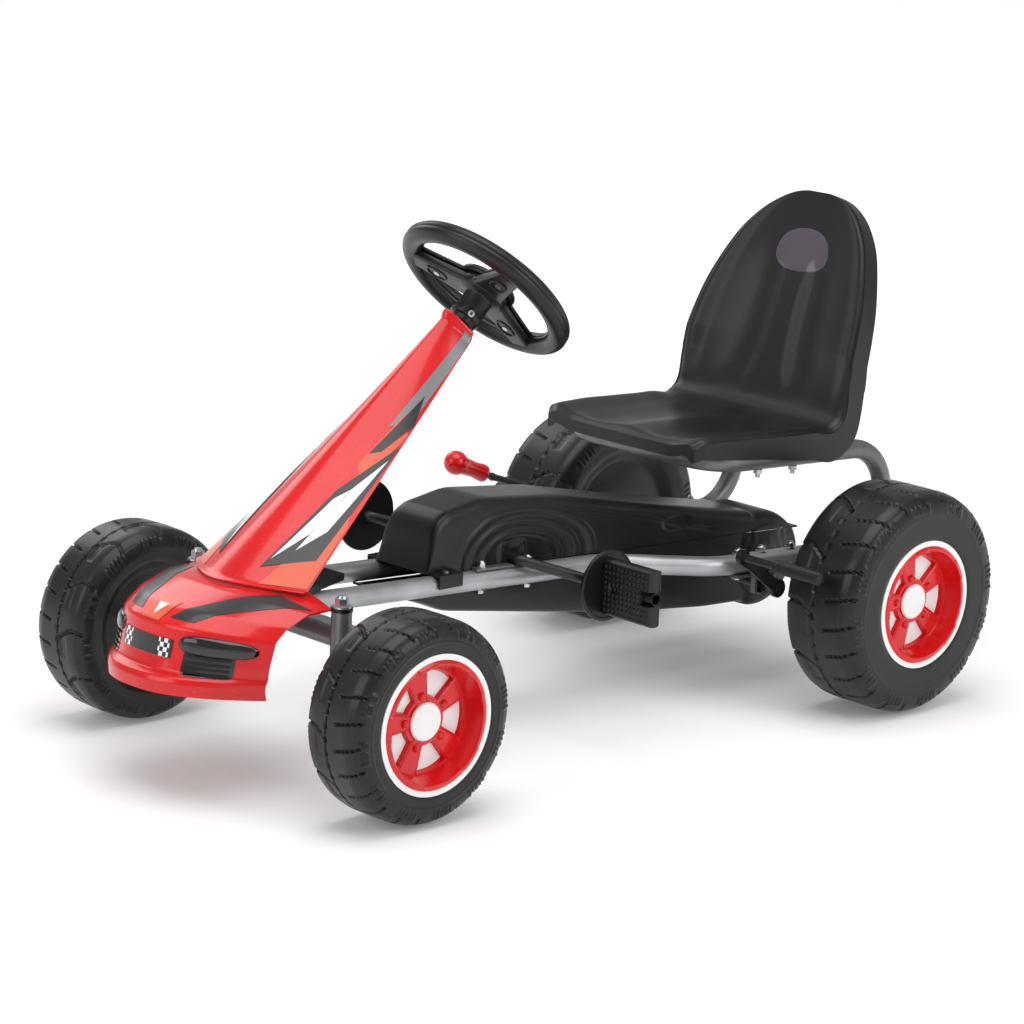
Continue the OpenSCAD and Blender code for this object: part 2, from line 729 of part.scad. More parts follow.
// Point of the seat's outer or inner skin; u runs across and v up the middle line
function seat_point(u, v, inner) =
    let (r = [for (i = [1:5]) lookup(v, column_of(SEAT_LINE, i))],
         half = seat_w / 2 * r[2],
         flat = min(1, abs(u) / 0.8),
         over = max(0, (abs(u) - 0.8) / 0.2),
         hollow = v > 0.5 ? 20 * pow(flat, 2) * min(1, (v - 0.5) / 0.15) * (1 - pow(v, 6)) : 0,
         deep = r[3] * over + (inner ? (1 - over) * pan_t : 0),
         x = sign(u) * (half * flat - (inner ? seat_wall * (u == 0 ? 0 : pow(flat, 4)) : 0)))
    [x, r[0] - hollow + deep * cos(r[4]),
     seat_top_z - 614 + r[1] + 2 * pow(flat, 3) * (v < 0.45 ? 1 : 0) - deep * sin(r[4])];

module seat_shell() {
    rows = 30;
    across = 20;
    function skin(inner) = [for (i = [0:rows]) [for (j = [0:across])
        seat_point(2 * j / across - 1, i / rows, inner)]];
    color(BLACK) difference() {
        translate([0, front_y, 0]) grid_shell(skin(false), skin(true));
        mirrored() in_rail_plane() translate([0, 0, 2 * hoop_r])
            bolt_holes(rail_x_rear, SEAT_BOLTS);
    }
}

module seat_badge() {
    rows = 8;
    function skin(lift) = [for (i = [0:rows]) [for (j = [0:rows])
        seat_point((j / rows - 0.5) * (0.36 + 0.16 * i / rows), 0.84 + 0.085 * i / rows, false)
        + [0, -lift, 0]]];
    color("#5d5764") translate([0, front_y, 0]) grid_shell(skin(1.5), skin(0.2));
}

// ---- steering ----------------------------------------------------------------------

ball_d = 10;
arm_up = 13;          // column's arm above the column's foot
link_back = arm_l;    // the link bar behind the kingpins
link_z = 176;
link_t = 4;
pin_d = 8;
ring_r = (steer_wheel_d - steer_rim_d) / 2;
hub_d = 36;
hub_l = 44;           // hub's collar under the spokes
spoke_t = 12;
spoke_turn = 0.37;    // the back's spokes are turned a little against the front's

// Column's arm end, at the link's height over the link's middle
ball_y = front_y + link_back;
ball_z = link_z + link_t / 2;
ball_down = cos(column_slope) * (rail_z + 1 - ball_z) + sin(column_slope) * link_back;

module steering_column() {
    up = cos(column_slope) * link_back - sin(column_slope) * (rail_z + 1 - ball_z);
    color("silver") on_column() {
        translate([0, 0, up - 8]) cylinder(d = column_d, h = column_l - up);
        translate([0, 0, up]) rotate([-90, 0, 0]) cylinder(d = 9, h = ball_down);
        translate([0, ball_down, up]) sphere(d = ball_d);
    }
}

module spokes(width, from, to) {
    for (a = [90, 210, 330]) rotate([0, 0, a]) translate([0, -width / 2, from])
        cube([ring_r - 5, width, to - from]);
}

module steering_wheel_front() {
    color(BLACK) on_column() translate([0, 0, column_l]) difference() {
        union() {
            difference() {
                rotate_extrude() translate([ring_r, 0]) circle(d = steer_rim_d);
                translate([0, 0, -50]) cylinder(r = steer_wheel_d, h = 50 + seat_gap / 2);
            }
            spokes(28, seat_gap / 2, 5);
            translate([0, 0, seat_gap / 2]) cylinder(d = 76, h = 9);
        }
        translate([0, 0, -1]) cylinder(d = column_d + 1, h = 5);
    }
}

module steering_wheel_back() {
    color(BLACK) on_column() translate([0, 0, column_l]) difference() {
        union() {
            difference() {
                rotate_extrude() translate([ring_r, 0]) circle(d = steer_rim_d);
                translate([0, 0, -seat_gap / 2]) cylinder(r = steer_wheel_d, h = 50);
            }
            rotate([0, 0, spoke_turn]) spokes(30, -spoke_t, -seat_gap / 2);
            translate([0, 0, -spoke_t - 1]) cylinder(d = 60, h = spoke_t);
            translate([0, 0, -spoke_t - hub_l]) cylinder(d = hub_d, h = hub_l + 1);
        }
        translate([0, 0, -100]) cylinder(d = column_d + 0.3, h = 120);
        for (a = [90, 210, 330]) rotate([0, 0, a]) translate([62, 0, -40]) cylinder(d = 5, h = 60);
        rotate([0, 0, -30]) translate([5, 0, -spoke_t - 32]) rotate([0, 90, 0])
            cylinder(d = 5, h = 40);
    }
}

module steering_screws() {
    color(STEEL) on_column() translate([0, 0, column_l]) {
        for (a = [90, 210, 330]) rotate([0, 0, a]) translate([62, 0, -spoke_t - 1.5]) {
            cylinder(d = 8, h = 1.5);
            cylinder(d = 4.6, h = spoke_t);
        }
        rotate([0, 0, -30]) translate([0, 0, -spoke_t - 32]) rotate([0, 90, 0]) {
            translate([0, 0, column_d / 2 + 0.4])
                cylinder(d = 4.6, h = (hub_d - column_d) / 2);
            translate([0, 0, hub_d / 2 + 0.05]) cylinder(d = 8.5, h = 2.4);
        }
    }
}

module steering_link() {
    slot_side = 2;    // free space beside the ball
    slot_end = 7;     // free space before and behind it
    color(STEEL) translate([0, ball_y, link_z]) difference() {
        union() {
            translate([-kingpin_x, -9, 0]) cube([2 * kingpin_x, 18, link_t]);
            cylinder(r = ball_d / 2 + slot_end + 6, h = link_t);
            mirrored() translate([kingpin_x, 0, 0]) cylinder(r = 9, h = link_t);
        }
        mirrored() translate([kingpin_x, 0, -1]) cylinder(d = pin_d + 2 * run_gap, h = link_t + 2);
        for (y = [-slot_end, slot_end]) translate([0, y, -1])
            cylinder(d = ball_d + 2 * slot_side, h = link_t + 2);
        translate([-ball_d / 2 - slot_side, -slot_end, -1])
            cube([ball_d + 2 * slot_side, 2 * slot_end, link_t + 2]);
    }
}

// Kingpin, stub axle and steering arm of the left wheel in one piece
knuckle_arm_z = 139;
stub_end = front_half_track - 22;
module knuckle_left() {
    hub_t = 6;
    color(GREY) translate([kingpin_x, front_y, 0]) {
        translate([0, 0, front_z]) cylinder(d = stub_d, h = kingpin_top + 14 - front_z);
        translate([-stub_d, 0, front_z]) rotate([0, 90, 0])
            cylinder(d = stub_d, h = stub_end - kingpin_x + stub_d);
        translate([0, 0, front_z - 2]) cylinder(d = 22, h = kingpin_low - 4 - seat_gap - front_z + 2);
        difference() {
            translate([-6, 0, knuckle_arm_z]) cube([12, arm_l, hub_t]);
            cylinder(d = stub_d - 1, h = 200);
        }
        translate([0, arm_l, knuckle_arm_z]) cylinder(r = 7, h = link_z - knuckle_arm_z - seat_gap);
        translate([0, arm_l, knuckle_arm_z]) cylinder(d = pin_d, h = link_z - knuckle_arm_z + 9);
        // shoulder that the wheel runs against
        translate([front_half_track - front_wheel_w - 4 - kingpin_x, 0, front_z]) rotate([0, 90, 0])
            cylinder(d = 22, h = 4 + 6 - seat_gap);
    }
}

module knuckle_right() { mirror([1, 0, 0]) knuckle_left(); }

hub_face = rim_depth + 3;   // outer face of a wheel to its hub's end

// Nuts and washers on the left kingpin, link pin and stub axle
module kingpin_nuts_left() {
    top = kingpin_top + 4 + seat_gap;
    color(STEEL) translate([kingpin_x, front_y, 0]) {
        translate([0, 0, top]) difference() {
            union() {
                cylinder(d = 23, h = 1.8);
                translate([0, 0, 1.8]) hexagon(14, 9);
                translate([0, 0, 8]) cylinder(d1 = 14, d2 = 9, h = 6);
            }
            translate([0, 0, -1]) cylinder(d = stub_d, h = kingpin_top + 14 - top + 1);
        }
        translate([0, arm_l, link_z + link_t + seat_gap]) difference() {
            hexagon(12, 5);
            translate([0, 0, -1]) cylinder(d = pin_d, h = 9);
        }
        translate([front_half_track - hub_face + seat_gap - kingpin_x, 0, front_z])
            rotate([0, 90, 0]) difference() {
                hexagon(17, 7);
                translate([0, 0, -1]) cylinder(d = stub_d, h = 9);
            }
    }
}

module kingpin_nuts_right() { mirror([1, 0, 0]) kingpin_nuts_left(); }

// ---- wheels ------------------------------------------------------------------------

ring_w = 7;           // width of the white ring round the rim
disc_t = 1.4;

// Hollow black moulding of a wheel: z runs from its inner to its outer face
module tyre(d, w, bore_r) {
    r = d / 2;
    seat_r = rim_d / 2 + ring_w + seat_gap;
    deep = w - hub_face;
    wall = 3.5;
    rotate_extrude($fn = 96) difference() {
        polygon([[bore_r, 6], [24, 6], [28, 15], [r * 0.56, 15], [r * 0.68, 4], [r * 0.8, 0],
                 [r - 9, 4], [r - 2, 12], [r, 22], [r, w - 24], [r - 3, w - 12], [r - 11, w - 3],
                 [r * 0.83, w], [seat_r + 2, w - 0.5], [seat_r, w - 2.5], [rim_d / 2 + 1, w - 3.5],
                 [rim_d / 2 - 5, deep], [bore_r, deep]]);
        polygon([[26 + wall, 15 + wall], [r * 0.57, 15 + wall], [r * 0.69, 4 + wall],
                 [r * 0.8, wall], [r - 10, 4 + wall], [r - 2 - wall, 13], [r - wall, 22],
                 [r - wall, w - 24], [r - 3 - wall, w - 14], [r - 12, w - 4 - wall],
                 [r * 0.83, w - wall], [seat_r + 2, w - wall - 1], [seat_r, w - 3 - wall],
                 [rim_d / 2, w - 4 - wall], [rim_d / 2 - 3, deep - wall], [26 + wall, deep - wall]]);
    }
}

// White dish behind the rim, with the ring that shows round it
module disc(w) {
    deep = w - hub_face + seat_gap;
    r = rim_d / 2;
    rotate_extrude($fn = 96) polygon([[15, deep], [r - 5 - seat_gap, deep],
        [r + 0.6, w - 3.2], [r + ring_w, w - 2.2], [r + ring_w, w - 0.6], [r + 0.4, w - 0.6],
        [r - 5 - seat_gap - disc_t, deep + disc_t], [15, deep + disc_t]]);
}

// Red rim with five spokes and a pocket for the axle nut
module rim(w) {
    r = rim_d / 2;
    low = w - hub_face + disc_t + 2 * seat_gap;
    difference() {
        rotate_extrude($fn = 96) polygon([[15, low], [r - 5.8 - disc_t, low], [r, w - 0.4],
            [r, w + 1], [r - 6, w + 1], [r - 12, low + 5], [15, low + 5]]);
        for (a = [0:72:359]) rotate([0, 0, a + 36]) translate([0, 0, low - 1]) linear_extrude(9)
            polygon([[29, -8.5], [r - 18, -17], [r - 15, -9], [r - 14, 0],
                     [r - 15, 9], [r - 18, 17], [29, 8.5]]);
    }
}

module cap(w) {
    low = w - hub_face + disc_t + 2 * seat_gap + 5;
    rotate_extrude() polygon([[0, low + 3], [13, low + 3], [13.5, low - 2], [14.8, low - 2],
        [14.8, low + seat_gap], [cap_d / 2 - 1, low + seat_gap], [cap_d / 2, low + 1.2],
        [cap_d / 2 - 1.5, low + 4.5], [0, low + 5.5]]);
}

module on_front_left() {
    translate([front_half_track - front_wheel_w, front_y, front_z]) rotate([0, 90, 0]) children();
}

module on_rear_left() {
    translate([rear_half_track - rear_wheel_w, rear_y, rear_z]) rotate([0, 90, 0]) children();
}

module front_left_tyre() { color(BLACK) on_front_left() tyre(front_wheel_d, front_wheel_w, stub_gap); }
module front_left_rim() { color(RED) on_front_left() rim(front_wheel_w); }
module front_left_disc() { color(WHITE) on_front_left() disc(front_wheel_w); }
module front_left_cap() { color(WHITE) on_front_left() cap(front_wheel_w); }
module front_right_tyre() { mirror([1, 0, 0]) front_left_tyre(); }
module front_right_rim() { mirror([1, 0, 0]) front_left_rim(); }
module front_right_disc() { mirror([1, 0, 0]) front_left_disc(); }
module front_right_cap() { mirror([1, 0, 0]) front_left_cap(); }
module rear_left_tyre() { color(BLACK) on_rear_left() tyre(rear_wheel_d, rear_wheel_w, axle_gap); }
module rear_left_rim() { color(RED) on_rear_left() rim(rear_wheel_w); }
module rear_left_disc() { color(WHITE) on_rear_left() disc(rear_wheel_w); }
module rear_left_cap() { color(WHITE) on_rear_left() cap(rear_wheel_w); }
module rear_right_tyre() { mirror([1, 0, 0]) rear_left_tyre(); }
module rear_right_rim() { mirror([1, 0, 0]) rear_left_rim(); }
module rear_right_disc() { mirror([1, 0, 0]) rear_left_disc(); }
module rear_right_cap() { mirror([1, 0, 0]) rear_left_cap(); }

// ---- drive ---------------------------------------------------------------------------

crank_rest = -19;     // the left arm's angle from straight back, in degrees
crank_straight = 60;  // middle plane to the elbow
pedal_disc_r = 45;
pedal_h = 70;
pedal_t = 26;
PEDAL_OFFSET = crank_throw * [cos(crank_rest), sin(crank_rest)];

module crankshaft() {
    // a bend: a short stout cylinder along the shaft that holds the ends of both bars
    module bend(at, turn) {
        reach = crank_d / 2 + 1;
        bar(at - [reach, 0, 0], at + [reach, 0, 0], crank_d + 1, turn);
    }
    // half of the bent rod: sloping arm and pedal pin
    module half(side) {
        o = side * PEDAL_OFFSET;
        a = [side * crank_straight, 0, 0];
        b = [side * (pedal_x - crank_d / 2 - 1.5), o.x, o.y];
        bend(a, 50);
        bar(a, b, crank_d, 20);
        bend(b, 50);
        bar(b, [side * (pedal_x + pedal_w - 1), o.x, o.y], crank_d, 35);
    }
    color("#3a3b3d") translate([0, crank_y, crank_z]) {
        bar([-crank_straight, 0, 0], [crank_straight, 0, 0], crank_d, 35);
        half(1);
        half(-1);
    }
}

module crank_sprocket() {
    color("dimgray") translate([0, crank_y, crank_z])
        sprocket(teeth_front, crank_d / 2 + run_gap, 15);
}

// Pedal on the left pin: a round guard at the inner end and a block outside it
module pedal_left() {
    color(BLACK) translate([pedal_x, crank_y + PEDAL_OFFSET.x, crank_z + PEDAL_OFFSET.y])
        difference() {
            union() {
                rotate([0, 90, 0]) cylinder(r = pedal_disc_r, h = 4);
                translate([4 - EPS, -pedal_t / 2, -pedal_h / 2]) cube([pedal_w - 4, pedal_t, pedal_h]);
            }
            translate([-1, 0, 0]) rotate([0, 90, 0])
                cylinder(r = crank_d / 2 + run_gap, h = pedal_w + 2);
        }
}

// The right crank arm points the other way, so its pedal lies across the crank
module pedal_right() {
    translate([0, 2 * (crank_y), 2 * crank_z])
        mirror([0, 0, 1]) mirror([0, 1, 0]) mirror([1, 0, 0]) pedal_left();
}

module rear_axle() {
    half = rear_half_track - hub_face + 8;
    color(STEEL) translate([0, rear_y, rear_z]) {
        translate([-half, 0, 0]) rotate([0, 90, 0]) cylinder(d = axle_d, h = 2 * half);
        // collars that the wheels run against
        mirrored() translate([rear_half_track - rear_wheel_w - 4, 0, 0]) rotate([0, 90, 0])
            cylinder(d = 24, h = 10 - seat_gap);
    }
}

module rear_axle_nuts() {
    color(STEEL) mirrored() translate([rear_half_track - hub_face + seat_gap, rear_y, rear_z])
        rotate([0, 90, 0]) difference() {
            hexagon(19, 7);
            translate([0, 0, -1]) cylinder(d = axle_d, h = 9);
        }
}

module axle_sprocket() {
    color("dimgray") translate([0, rear_y, rear_z]) sprocket(teeth_front / 2, axle_gap, 14);
}

// ---- brake -----------------------------------------------------------------------------

sleeve_back = 636;    // front axle to the brake's cross bars
sleeve_z = 193;
sleeve_d = 18;
arm_x = 158;          // middle plane to the middle of a brake arm
lever_x = 206;        // middle plane to the hand lever
arm_reach = norm([704 - sleeve_back, sleeve_z - brake_z]);
arm_lean = -atan2(sleeve_z - brake_z, 704 - sleeve_back);
bar_inner = 214;      // middle plane to the inner end of a sleeve
bar_outer = rear_half_track - 36;
grip_d = 32;

// Points of the hand lever, seen from the side, from the arm up to the grip
LEVER = [[640, 190], [604, 216], [545, 236], [486, 260]];

module brake_shaft() {
    color(BLACK) translate([0, front_y, 0]) {
        translate([-arm_x - 6, 704, brake_z]) rotate([0, 90, 0])
            cylinder(d = brake_d, h = 2 * arm_x + 12);
        mirrored() {
            for (p = [[704, brake_z, 12], [sleeve_back, sleeve_z, 10]])
                translate([arm_x - 3, p[0], p[1]]) rotate([0, 90, 0]) cylinder(r = p[2], h = 6);
            translate([arm_x - 2, 704, brake_z]) rotate([90 + arm_lean, 0, 0])
                translate([0, -8, 0]) cube([4, 16, arm_reach]);
            bar([arm_x, sleeve_back, sleeve_z], [bar_outer, sleeve_back, sleeve_z], 10);
        }
        // flat hand lever, cranked outwards past the pedal
        bar([-lever_x, sleeve_back, sleeve_z], [-lever_x, LEVER[1].x, LEVER[1].y], 9);
        for (i = [1:2])
            bar([-lever_x, LEVER[i].x, LEVER[i].y], [-lever_x, LEVER[i + 1].x, LEVER[i + 1].y], 9);
        for (i = [1:2])
            translate([-lever_x, LEVER[i].x, LEVER[i].y]) rotate([90, 0, 0]) sphere(d = 11);
        // boss that joins the lever to its cross bar
        translate([-lever_x - 6, sleeve_back, sleeve_z]) rotate([0, 90, 0])
            cylinder(d = 16, h = 12);
    }
}

module brake_grip() {
    from = LEVER[2] + 0.25 * (LEVER[3] - LEVER[2]);
    to = LEVER[3] + 0.1 * (LEVER[3] - LEVER[2]);
    color(RED) translate([0, front_y, 0]) difference() {
        union() {
            bar([-lever_x, from.x, from.y], [-lever_x, to.x, to.y], 24);
            translate([-lever_x, to.x, to.y]) sphere(d = grip_d);
        }
        bar([-lever_x, LEVER[2].x, LEVER[2].y], [-lever_x, LEVER[3].x, LEVER[3].y], 10.1);
    }
}

module brake_sleeves() {
    color(BLACK) mirrored() translate([bar_inner, front_y + sleeve_back, sleeve_z])
        rotate([0, 90, 0]) difference() {
            cylinder(d = sleeve_d, h = bar_outer + 4 - bar_inner);
            translate([0, 0, -1]) cylinder(d = 10.1, h = bar_outer - bar_inner + 1);
        }
}

rail_left();
rail_right();
front_beam();
kingpin_bushes();
column_support();
column_bushes();
nose_body();
column_cover();
headlights();
grilles();
number_plate();
hood_rear_cap();
chain_cover();
chain_tray();
crank_hangers();
axle_hangers();
shaft_bushes();
drive_chain();
seat_hoop();
seat_shell();
seat_badge();
seat_bolts();
frame_bolts();
cover_screws();
brake_hangers();
steering_column();
steering_wheel_front();
steering_wheel_back();
steering_screws();
steering_link();
knuckle_left();
knuckle_right();
kingpin_nuts_left();
kingpin_nuts_right();
front_left_tyre();
front_left_rim();
front_left_disc();
front_left_cap();
front_right_tyre();
front_right_rim();
front_right_disc();
front_right_cap();
rear_left_tyre();
rear_left_rim();
rear_left_disc();
rear_left_cap();
rear_right_tyre();
rear_right_rim();
rear_right_disc();
rear_right_cap();
crankshaft();
crank_sprocket();
pedal_left();
pedal_right();
rear_axle();
axle_sprocket();
rear_axle_nuts();
brake_shaft();
brake_grip();
brake_sleeves();
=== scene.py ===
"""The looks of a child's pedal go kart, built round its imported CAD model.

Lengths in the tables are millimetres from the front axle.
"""

import math

import bpy
import numpy as np
from mathutils import Matrix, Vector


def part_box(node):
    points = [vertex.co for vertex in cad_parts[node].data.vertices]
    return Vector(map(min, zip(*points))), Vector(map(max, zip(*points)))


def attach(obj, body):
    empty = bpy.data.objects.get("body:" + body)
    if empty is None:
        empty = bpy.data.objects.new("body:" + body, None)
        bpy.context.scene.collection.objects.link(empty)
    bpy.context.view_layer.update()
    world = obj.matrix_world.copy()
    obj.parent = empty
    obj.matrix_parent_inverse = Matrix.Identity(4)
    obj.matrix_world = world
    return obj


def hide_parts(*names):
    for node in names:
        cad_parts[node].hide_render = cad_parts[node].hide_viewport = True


bl_info = {
    "name": "Pedal go kart",
    "version": (1, 0, 0),
    "blender": (4, 5, 0),
    "location": "3D View > Sidebar > Kart",
    "description": "Builds the surfaces and finishes of a pedal go kart",
    "category": "Object",
}

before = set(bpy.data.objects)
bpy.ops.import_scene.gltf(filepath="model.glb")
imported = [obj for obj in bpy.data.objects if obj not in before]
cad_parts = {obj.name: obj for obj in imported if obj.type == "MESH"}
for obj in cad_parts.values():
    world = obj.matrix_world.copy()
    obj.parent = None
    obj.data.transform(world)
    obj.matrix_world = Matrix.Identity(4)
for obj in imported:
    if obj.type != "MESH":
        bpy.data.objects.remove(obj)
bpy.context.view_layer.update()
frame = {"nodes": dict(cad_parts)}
MM = 0.001


def corners(node):
    """Lowest and highest corner of a CAD node, as arrays in metres."""
    low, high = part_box(node)
    return np.array(low), np.array(high)


def middle(node):
    """Middle of a CAD node's box, in metres."""
    low, high = corners(node)
    return (low + high) / 2


FRONT = middle("front_left_tyre")
REAR = middle("rear_left_tyre")
CRANK = middle("crankshaft")


# ---- meshes ------------------------------------------------------------------

class Mould:
    """Points and faces of one piece, gathered from several surfaces."""

    def __init__(self):
        self.points, self.faces, self.count = [], [], 0

    def take(self, points, faces):
        """Adds a surface; a closed one is turned so that its faces point outwards."""
        points = np.asarray(points, float).reshape(-1, 3)
        faces = np.asarray(faces, int)
        quads = points[faces]
        fan = sum(np.einsum("ij,ij->i", quads[:, 0], np.cross(quads[:, k], quads[:, k + 1]))
                  for k in range(1, faces.shape[1] - 1))
        if fan.sum() < 0:
            faces = faces[:, ::-1]
        ordered = np.sort(faces, axis=1)
        pinched = (ordered[:, 1:] == ordered[:, :-1]).any(axis=1)
        faces = faces + self.count
        self.points.append(points)
        self.faces.extend(faces[~pinched].tolist())
        self.faces.extend(list(dict.fromkeys(f)) for f in faces[pinched].tolist())
        self.count += len(points)

    def mirrored(self):
        """The same piece on the other side of the middle plane."""
        other = Mould()
        other.points = [p * [-1, 1, 1] for p in self.points]
        other.faces = [f[::-1] for f in self.faces]
        other.count = self.count
        return other

    def piece(self, name, finish, body, replaces=(), slot=None, smooth=40):
        """Makes the object, with smooth shading up to an angle in degrees."""
        mesh = bpy.data.meshes.new(name)
        mesh.from_pydata(np.concatenate(self.points), [], self.faces)
        mesh.update()
        obj = bpy.data.objects.new(name, mesh)
        bpy.context.scene.collection.objects.link(obj)
        mesh.materials.append(finish)
        mesh.shade_smooth()
        mesh.set_sharp_from_angle(angle=math.radians(smooth))
        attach(obj, body)
        if replaces:
            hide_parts(*replaces)
        return obj


def grid_faces(rows, columns, wrap_rows=False, wrap_columns=False):
    """Quads of a grid: cell (i, j) joins point (i, j) to its next row and next column."""
    i = np.arange(rows if wrap_rows else rows - 1)[:, None]
    j = np.arange(columns if wrap_columns else columns - 1)[None, :]
    a = i * columns + j
    b = i * columns + (j + 1) % columns
    c = (i + 1) % rows * columns + (j + 1) % columns
    d = (i + 1) % rows * columns + j
    return np.stack([a, b, c, d], -1).reshape(-1, 4)


def normals(points):
    """Unit normals of a grid: the cross product of its two central differences."""
    n = np.cross(np.gradient(points, axis=0), np.gradient(points, axis=1))
    return n / np.maximum(np.linalg.norm(n, axis=-1, keepdims=True), 1e-12)


def two_skins(top, low):
    """Two grids of the same size as one closed piece: the first as it is, the second
    turned over, and a row of faces between their edges."""
    rows, columns = top.shape[:2]
    size = rows * columns
    outer = grid_faces(rows, columns)
    index = np.arange(size).reshape(rows, columns)
    edge = np.concatenate([index[0, :-1], index[:-1, -1], index[-1, :0:-1], index[:0:-1, 0]])
    after = np.roll(edge, -1)
    rim = np.stack([after, edge, edge + size, after + size], -1)
    return (np.concatenate([top.reshape(-1, 3), low.reshape(-1, 3)]),
            np.concatenate([outer, outer[:, ::-1] + size, rim]))


def shell(points, wall, inwards=None):
    """A sheet of a given wall: the grid and the same grid moved along its normals by
    the wall. inwards is a point that the wall grows towards."""
    n = normals(points)
    if inwards is not None:
        toward = np.asarray(inwards) - points
        if np.einsum("ijk,ijk->", toward, n) < 0:
            n = -n
    return two_skins(points, points + n * wall)


def eased(at, table, column, soft=0.03):
    """A table's column at some shares of the way, with its corners rounded: the mean
    of nine straight-line readings taken up to soft before and after."""
    table = np.asarray(table, float)
    shifts = np.linspace(-soft, soft, 9)
    return sum(np.interp(np.clip(at + s, 0, 1), table[:, 0], table[:, column]) for s in shifts) / 9


def resampled(line, count, soft=0, closed=False):
    """Points an equal way apart along a line, moved to the mean of their neighbours
    soft times, which rounds the corners."""
    line = np.asarray(line, float)
    if closed:
        line = np.vstack([line, line[:1]])
    run = np.concatenate([[0], np.cumsum(np.linalg.norm(np.diff(line, axis=0), axis=1))])
    at = np.linspace(0, run[-1], count, endpoint=not closed)
    out = np.stack([np.interp(at, run, line[:, k]) for k in range(line.shape[1])], -1)
    for _ in range(soft):
        mean = (np.roll(out, 1, 0) + np.roll(out, -1, 0)) / 2
        if not closed:
            mean[0], mean[-1] = out[0], out[-1]
        out = (out + mean) / 2
    return out


def bent(points, radius, steps=8):
    """A path with its inner corners rounded: each corner gives way to a quadratic
    curve between two points that lie radius times the half turn's tangent from it."""
    points = np.asarray(points, float)
    out = [points[:1]]
    for before, corner, after in zip(points[:-2], points[1:-1], points[2:]):
        a, b = before - corner, after - corner
        la, lb = np.linalg.norm(a), np.linalg.norm(b)
        half = math.acos(np.clip(-a @ b / la / lb, -1, 1)) / 2
        reach = min(radius * math.tan(half), 0.48 * la, 0.48 * lb)
        t = np.linspace(0, 1, steps)[:, None]
        start, end = corner + a / la * reach, corner + b / lb * reach
        out.append((1 - t) ** 2 * start + 2 * t * (1 - t) * corner + t ** 2 * end)
    return np.concatenate(out + [points[-1:]])


def tube(path, radius, sides=24, flat=1.0, closed=False):
    """A ring carried along a path: each ring stands square to the path's direction,
    and its frame is turned on from the last one without twist. radius may change
    along the path; flat squashes the ring across."""
    path = np.asarray(path, float)
    ahead = np.gradient(path, axis=0)
    if closed:
        ahead = np.roll(path, -1, 0) - np.roll(path, 1, 0)
    ahead /= np.linalg.norm(ahead, axis=1, keepdims=True)
    side = np.cross(ahead[0], [0, 0, 1] if abs(ahead[0][2]) < 0.9 else [0, 1, 0])
    frames = []
    for step in ahead:
        side = side - step * (side @ step)
        side = side / np.linalg.norm(side)
        frames.append((side, np.cross(step, side)))
    frames = np.array(frames)
    angle = np.linspace(0, 2 * np.pi, sides, endpoint=False)
    radius = np.broadcast_to(radius, len(path))[:, None, None]
    ring = (frames[:, None, 0] * np.cos(angle)[None, :, None]
            + frames[:, None, 1] * np.sin(angle)[None, :, None] * flat)
    points = path[:, None] + ring * radius
    if closed:
        return points, grid_faces(len(path), sides, True, True)
    return capped(points)


def capped(points):
    """A row of closed rings with each end drawn together to its middle point."""
    rows, columns = points.shape[:2]
    low, high = points[0].mean(0), points[-1].mean(0)
    ends = np.concatenate([np.repeat(low[None, None], columns, 1), points,
                           np.repeat(high[None, None], columns, 1)])
    flat = ends.reshape(-1, 3)
    faces = grid_faces(rows + 2, columns, False, True)
    faces[faces < columns] = 0
    faces[faces >= (rows + 1) * columns] = (rows + 1) * columns
    keep = np.unique(faces)
    index = np.zeros(len(flat), int)
    index[keep] = np.arange(len(keep))
    return flat[keep], index[faces]


def turned(profile, origin, axis=(1, 0, 0), count=96, relief=None):
    """A closed profile of (radius, distance along the axis) turned about an axis.
    relief gives how far a point stands out along the profile's own normal, from its
    radius, its distance and the angle."""
    profile = np.asarray(profile, float)
    axis = np.asarray(axis, float) / np.linalg.norm(axis)
    across = np.cross(axis, [0, 0, 1] if abs(axis[2]) < 0.9 else [0, 1, 0])
    across /= np.linalg.norm(across)
    up = np.cross(axis, across)
    angle = np.linspace(0, 2 * np.pi, count, endpoint=False)
    r = np.repeat(profile[:, :1], count, 1)
    x = np.repeat(profile[:, 1:], count, 1)
    if relief is not None:
        step = np.roll(profile, -1, 0) - np.roll(profile, 1, 0)
        out = np.stack([step[:, 1], -step[:, 0]], -1)
        out /= np.maximum(np.linalg.norm(out, axis=1, keepdims=True), 1e-9)
        area = np.sum(profile[:, 0] * np.roll(profile[:, 1], -1)
                      - np.roll(profile[:, 0], -1) * profile[:, 1])
        out *= np.sign(area)
        height = relief(r, x, np.repeat(angle[None], len(profile), 0))
        r, x = r + out[:, :1] * height, x + out[:, 1:] * height
    points = (np.asarray(origin) + axis * x[..., None]
              + across * (r * np.cos(angle))[..., None] + up * (r * np.sin(angle))[..., None])
    return points, grid_faces(len(profile), count, True, True)


def domed(profile, origin, axis=(1, 0, 0), count=48):
    """An open profile of (radius, distance) turned about an axis, closed at both ends."""
    profile = np.asarray(profile, float)
    axis = np.asarray(axis, float) / np.linalg.norm(axis)
    across = np.cross(axis, [0, 0, 1] if abs(axis[2]) < 0.9 else [0, 1, 0])
    across /= np.linalg.norm(across)
    up = np.cross(axis, across)
    angle = np.linspace(0, 2 * np.pi, count, endpoint=False)
    ring = across * np.cos(angle)[:, None] + up * np.sin(angle)[:, None]
    points = (np.asarray(origin) + axis * profile[:, 1][:, None, None]
              + ring[None] * profile[:, 0][:, None, None])
    return capped(points)


